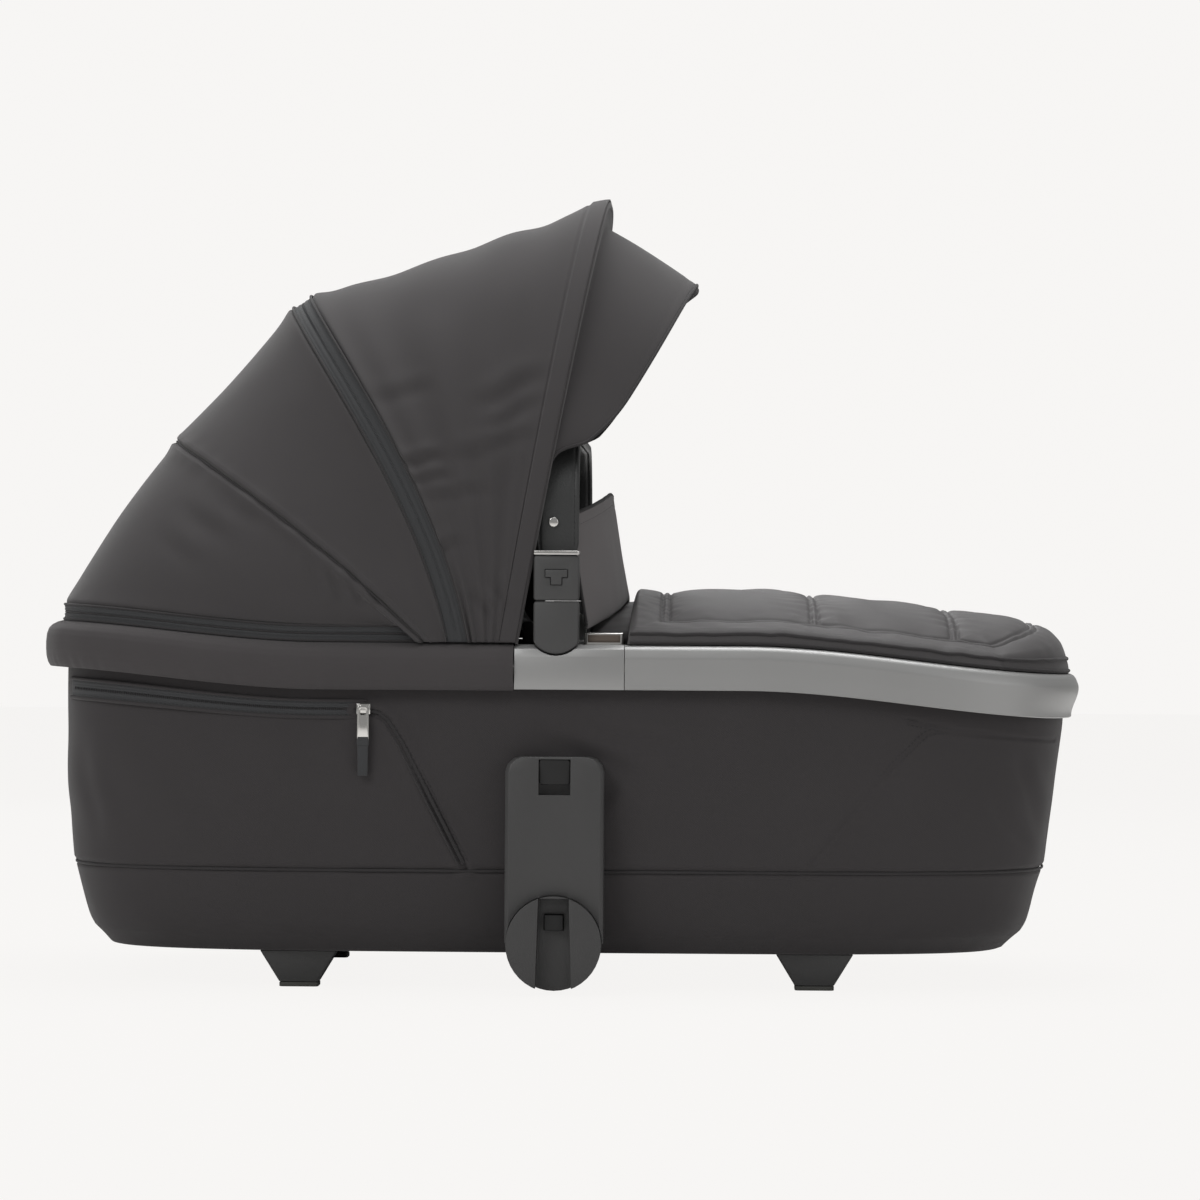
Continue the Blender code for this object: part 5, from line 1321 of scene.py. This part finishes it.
# Its lower part is sewn to the apron. The flap's pieces have their placement baked into their meshes and do
# not bend with the flap.
for piece in (flap_piece, flap_binding, flap_stitches):
    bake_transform(piece)


# Lining of the tub: a light jersey skin inside the board, with a soft seam above the mattress.
lining_cloth = cloth_material("lining_cloth", (0.30, 0.29, 0.28), 1300.0, 0.15, 0.2, 0.1)


lining_low = 0.046
lining_high = 0.2455
lining_inset = 0.0094


def lining_place(u, v):
    height = lining_low + (lining_high - lining_low) * v
    head, foot, half = tub_reach(height)
    x, y = oval(turn_at(u % 1.0), head - lining_inset, foot - lining_inset, half - lining_inset)
    ruck = 0.0008 * rough(x * 14, y * 14, height * 20)
    scale = 1.0 - max(ruck, 0.0) / 0.2
    return Vector((x * scale, y * scale, height + tub_lift(height, x)))


lining_shape = shaped_grid(360, 40, lining_place, (2.2, 0.2), wrap=True, centre=(0.0, 0.0, 0.15))
bmesh.ops.reverse_faces(lining_shape, faces=lining_shape.faces)
lining_wall_piece = finish_piece("lining_wall", lining_shape, lining_cloth, "tub", ("liner",), 0.0010, 80.0)


def lining_floor_place(u, v):
    head, foot, half = tub_reach(lining_low)
    s, t = 2 * u - 1, 2 * v - 1
    scale = plan_scale(s, t)
    x = s * scale * (head + foot - 0.0190) / 2 + (foot - head) / 2
    return Vector((x, t * scale * (half - 0.0095), 0.0372))


lining_floor = shaped_grid(60, 40, lining_floor_place, (0.7, 0.32), centre=(0.0, 0.0, -1.0))
lining_floor_piece = finish_piece("lining_floor", lining_floor, lining_cloth, "tub", sharp=80.0)

# Mattress: a foam pad in a quilted jersey cover with a corded edge.
mattress_cloth = cloth_material("mattress_cloth", (0.62, 0.61, 0.585), 1100.0, 0.12, 0.25, 0.1)
mattress_half_length = 0.3460
mattress_half_width = 0.1585
quilt_step = 0.052


def mattress_place(u, v):
    s, t = 2 * u - 1, 2 * v - 1
    scale = plan_scale(s, t)
    x, y = s * scale * mattress_half_length, t * scale * mattress_half_width
    edge = min((1 - abs(s)) * 0.35, (1 - abs(t)) * 0.158)
    fall = round_over(edge, 0.012)
    waves = math.sin(math.pi * (x + y) / quilt_step) * math.sin(math.pi * (x - y) / quilt_step)
    quilt = 0.0014 * abs(waves) ** 0.5
    crown = 0.0045 * (1 - s * s) * (1 - t * t)
    soft = 0.0006 * rough(x * 20, y * 20, 1.0)
    return Vector((x, y, 0.0500 + (0.0115 + crown + quilt + soft) * fall))


mattress_shape = shaped_grid(320, 180, mattress_place, (0.70, 0.32), centre=(0.0, 0.0, -1.0))
mattress_piece = finish_piece("mattress_top", mattress_shape, mattress_cloth, "tub", ("mattress",), 0.0, 80.0)


def mattress_side_place(u, v):
    x, y = oval(turn_at(u % 1.0), mattress_half_length, mattress_half_length, mattress_half_width)
    draw = 0.0025 * (1 - math.sin(math.pi * v))
    length = math.hypot(x, y)
    return Vector((x * (1 - draw / length), y * (1 - draw / length), 0.0385 + 0.0120 * v))


mattress_side = shaped_grid(360, 10, mattress_side_place, (1.9, 0.012), wrap=True, centre=(0.0, 0.0, 0.04))
mattress_side_piece = finish_piece("mattress_side", mattress_side, mattress_cloth, "tub", sharp=80.0)
mattress_cord = [Vector((*oval(turn_at(k / 360), 0.3512, 0.3512, 0.1582), 0.0505)) for k in range(360)]
cord("mattress_cord", mattress_cord, 0.0014, lining_cloth, "tub", closed=True)


# Side pocket: a coil zip between two piped lips on the child's right side, with a metal slider and pull.
pocket_zip_start = -0.396
pocket_zip_end = -0.150
pocket_tape_width = 0.0116


def pocket_line(rise, proud):
    height = pocket_slot_height + rise
    spots = [pocket_zip_start + (pocket_zip_end - pocket_zip_start) * k / 160 for k in range(161)]
    return [tub_skin(x, height + tub_lift(height, x), proud) for x in spots]


def pocket_place(u, v):
    x = pocket_zip_start + (pocket_zip_end - pocket_zip_start) * u
    z = pocket_slot_height + pocket_tape_width * (v - 0.5)
    ribs = 0.0005 * abs(math.sin(math.pi * 4 * v)) - 0.0009 * bell(v, 0.10, 0.5)
    return tub_skin(x, z + tub_lift(z, x), 0.0012 + ribs)


tape_size = (pocket_zip_end - pocket_zip_start, pocket_tape_width)
pocket_tape = shaped_grid(220, 24, pocket_place, tape_size, centre=(-0.3, 0.3, pocket_slot_height))
finish_piece("pocket_zip_tape_cloth", pocket_tape, tape_cloth, "tub", ("pocket_zip_tape",), 0.0007, 80.0)
cord("pocket_lip_upper", pocket_line(0.0066, 0.0010), 0.0014, body_cloth, "tub")
cord("pocket_lip_lower", pocket_line(-0.0066, 0.0010), 0.0016, body_cloth, "tub")
for rise, word in ((0.0044, "upper"), (-0.0044, "lower")):
    stitch_row(f"pocket_stitch_{word}", pocket_line(rise, 0.0019), Vector((0, -1, 0)), "tub", 0.0036, 0.0026)
teeth = bmesh.new()
for k in range(150):
    x = -0.392 + 0.232 * k / 149
    spot = tub_skin(x, pocket_slot_height + tub_lift(pocket_slot_height, x), 0.0012)
    place = Matrix.Translation(spot) @ Matrix.Diagonal((0.00055, 0.0006, 0.0017, 1.0))
    bmesh.ops.create_icosphere(teeth, subdivisions=1, radius=1.0, matrix=place)
finish_piece("pocket_zip_coil", teeth, thread, "tub", sharp=85.0)


slider_low, slider_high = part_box("pocket_zip_slider")
slider_shape = bmesh.new()
slider_middle = (slider_low + slider_high) / 2
rounded_block(slider_shape, (slider_low.x, slider_high.y - 0.0012, slider_low.z), slider_high, 0.0010)
rounded_block(slider_shape, (slider_low.x + 0.001, slider_low.y + 0.0014, slider_low.z + 0.001),
              (slider_high.x - 0.001, slider_high.y - 0.0014, slider_high.z - 0.001), 0.0009)
rounded_block(slider_shape, (slider_low.x + 0.0026, slider_low.y, slider_middle.z - 0.0034),
              (slider_high.x - 0.0026, slider_low.y + 0.0016, slider_middle.z + 0.0034), 0.0006)
finish_piece("pocket_slider_casting", slider_shape, chrome_finish, "zip_slider", ("pocket_zip_slider",))

pull_low, pull_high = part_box("pocket_zip_pull")
pull_middle = (pull_low + pull_high) / 2
pull_shape = bmesh.new()
loops = []
for half_width, top, bottom, corner in (
    (0.0046, pull_high.z, pull_low.z + 0.001, 0.0020),
    (0.0026, pull_high.z - 0.0016, pull_high.z - 0.0068, 0.0016),
):
    ring = []
    for sx, sz, first in ((1, 1, 0), (-1, 1, 90), (-1, -1, 180), (1, -1, 270)):
        for k in range(7):
            angle = math.radians(first + 15 * k)
            x = pull_middle.x + sx * (half_width - corner) + corner * math.cos(angle)
            edge = top - corner if sz > 0 else bottom + corner
            ring.append(pull_shape.verts.new((x, pull_middle.y, edge + corner * math.sin(angle))))
    loops += [pull_shape.edges.new((before, after)) for before, after in zip(ring, ring[1:] + ring[:1])]
bmesh.ops.bridge_loops(pull_shape, edges=loops)
bmesh.ops.recalc_face_normals(pull_shape, faces=pull_shape.faces)
made = bmesh.ops.extrude_face_region(pull_shape, geom=list(pull_shape.faces))
raised = [item for item in made["geom"] if isinstance(item, bmesh.types.BMVert)]
bmesh.ops.translate(pull_shape, verts=raised, vec=(0.0, 0.0012, 0.0))
bmesh.ops.translate(pull_shape, verts=pull_shape.verts, vec=(0.0, -0.0006, 0.0))
bmesh.ops.recalc_face_normals(pull_shape, faces=pull_shape.faces)
round_edges(pull_shape, edges_over(pull_shape, 60.0), 0.00025, 2)
finish_piece("pocket_pull_plate", pull_shape, chrome_finish, "zip_pull", ("pocket_zip_pull",))
ribbon = bmesh.new()
for half_width, half_depth, down, up, corner in (
    (0.0044, 0.0010, 0.0270, 0.0040, 0.0008), (0.0048, 0.0014, 0.0030, 0.0020, 0.0007),
):
    low = (pull_middle.x - half_width, pull_middle.y - half_depth, pull_low.z - down)
    high = (pull_middle.x + half_width, pull_middle.y + half_depth, pull_low.z + up)
    rounded_block(ribbon, low, high, corner)
ribbon_taper_top = pull_low.z - 0.015
for vertex in ribbon.verts:
    if vertex.co.z < ribbon_taper_top:
        narrowing = 1.0 - 9.0 * (ribbon_taper_top - vertex.co.z)
        vertex.co.x = pull_middle.x + (vertex.co.x - pull_middle.x) * narrowing
finish_piece("pocket_pull_ribbon", ribbon, tape_cloth, "zip_pull")

# What stays as the CAD built it, hidden inside or under the tub.
tray_finish = solid_material("tray_plastic_grained", (0.024, 0.024, 0.024), 0.55, 0.0, 0.3, 900.0)
board_finish = solid_material("board_sheet", (0.22, 0.22, 0.22), 0.6)
for node, finish in (("base_tray", tray_finish), ("wall_board", board_finish), ("rim_tube", steel_finish),
                     ("side_strap_right", steel_finish), ("side_strap_left", steel_finish)):
    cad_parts[node].data.materials.clear()
    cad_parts[node].data.materials.append(finish)
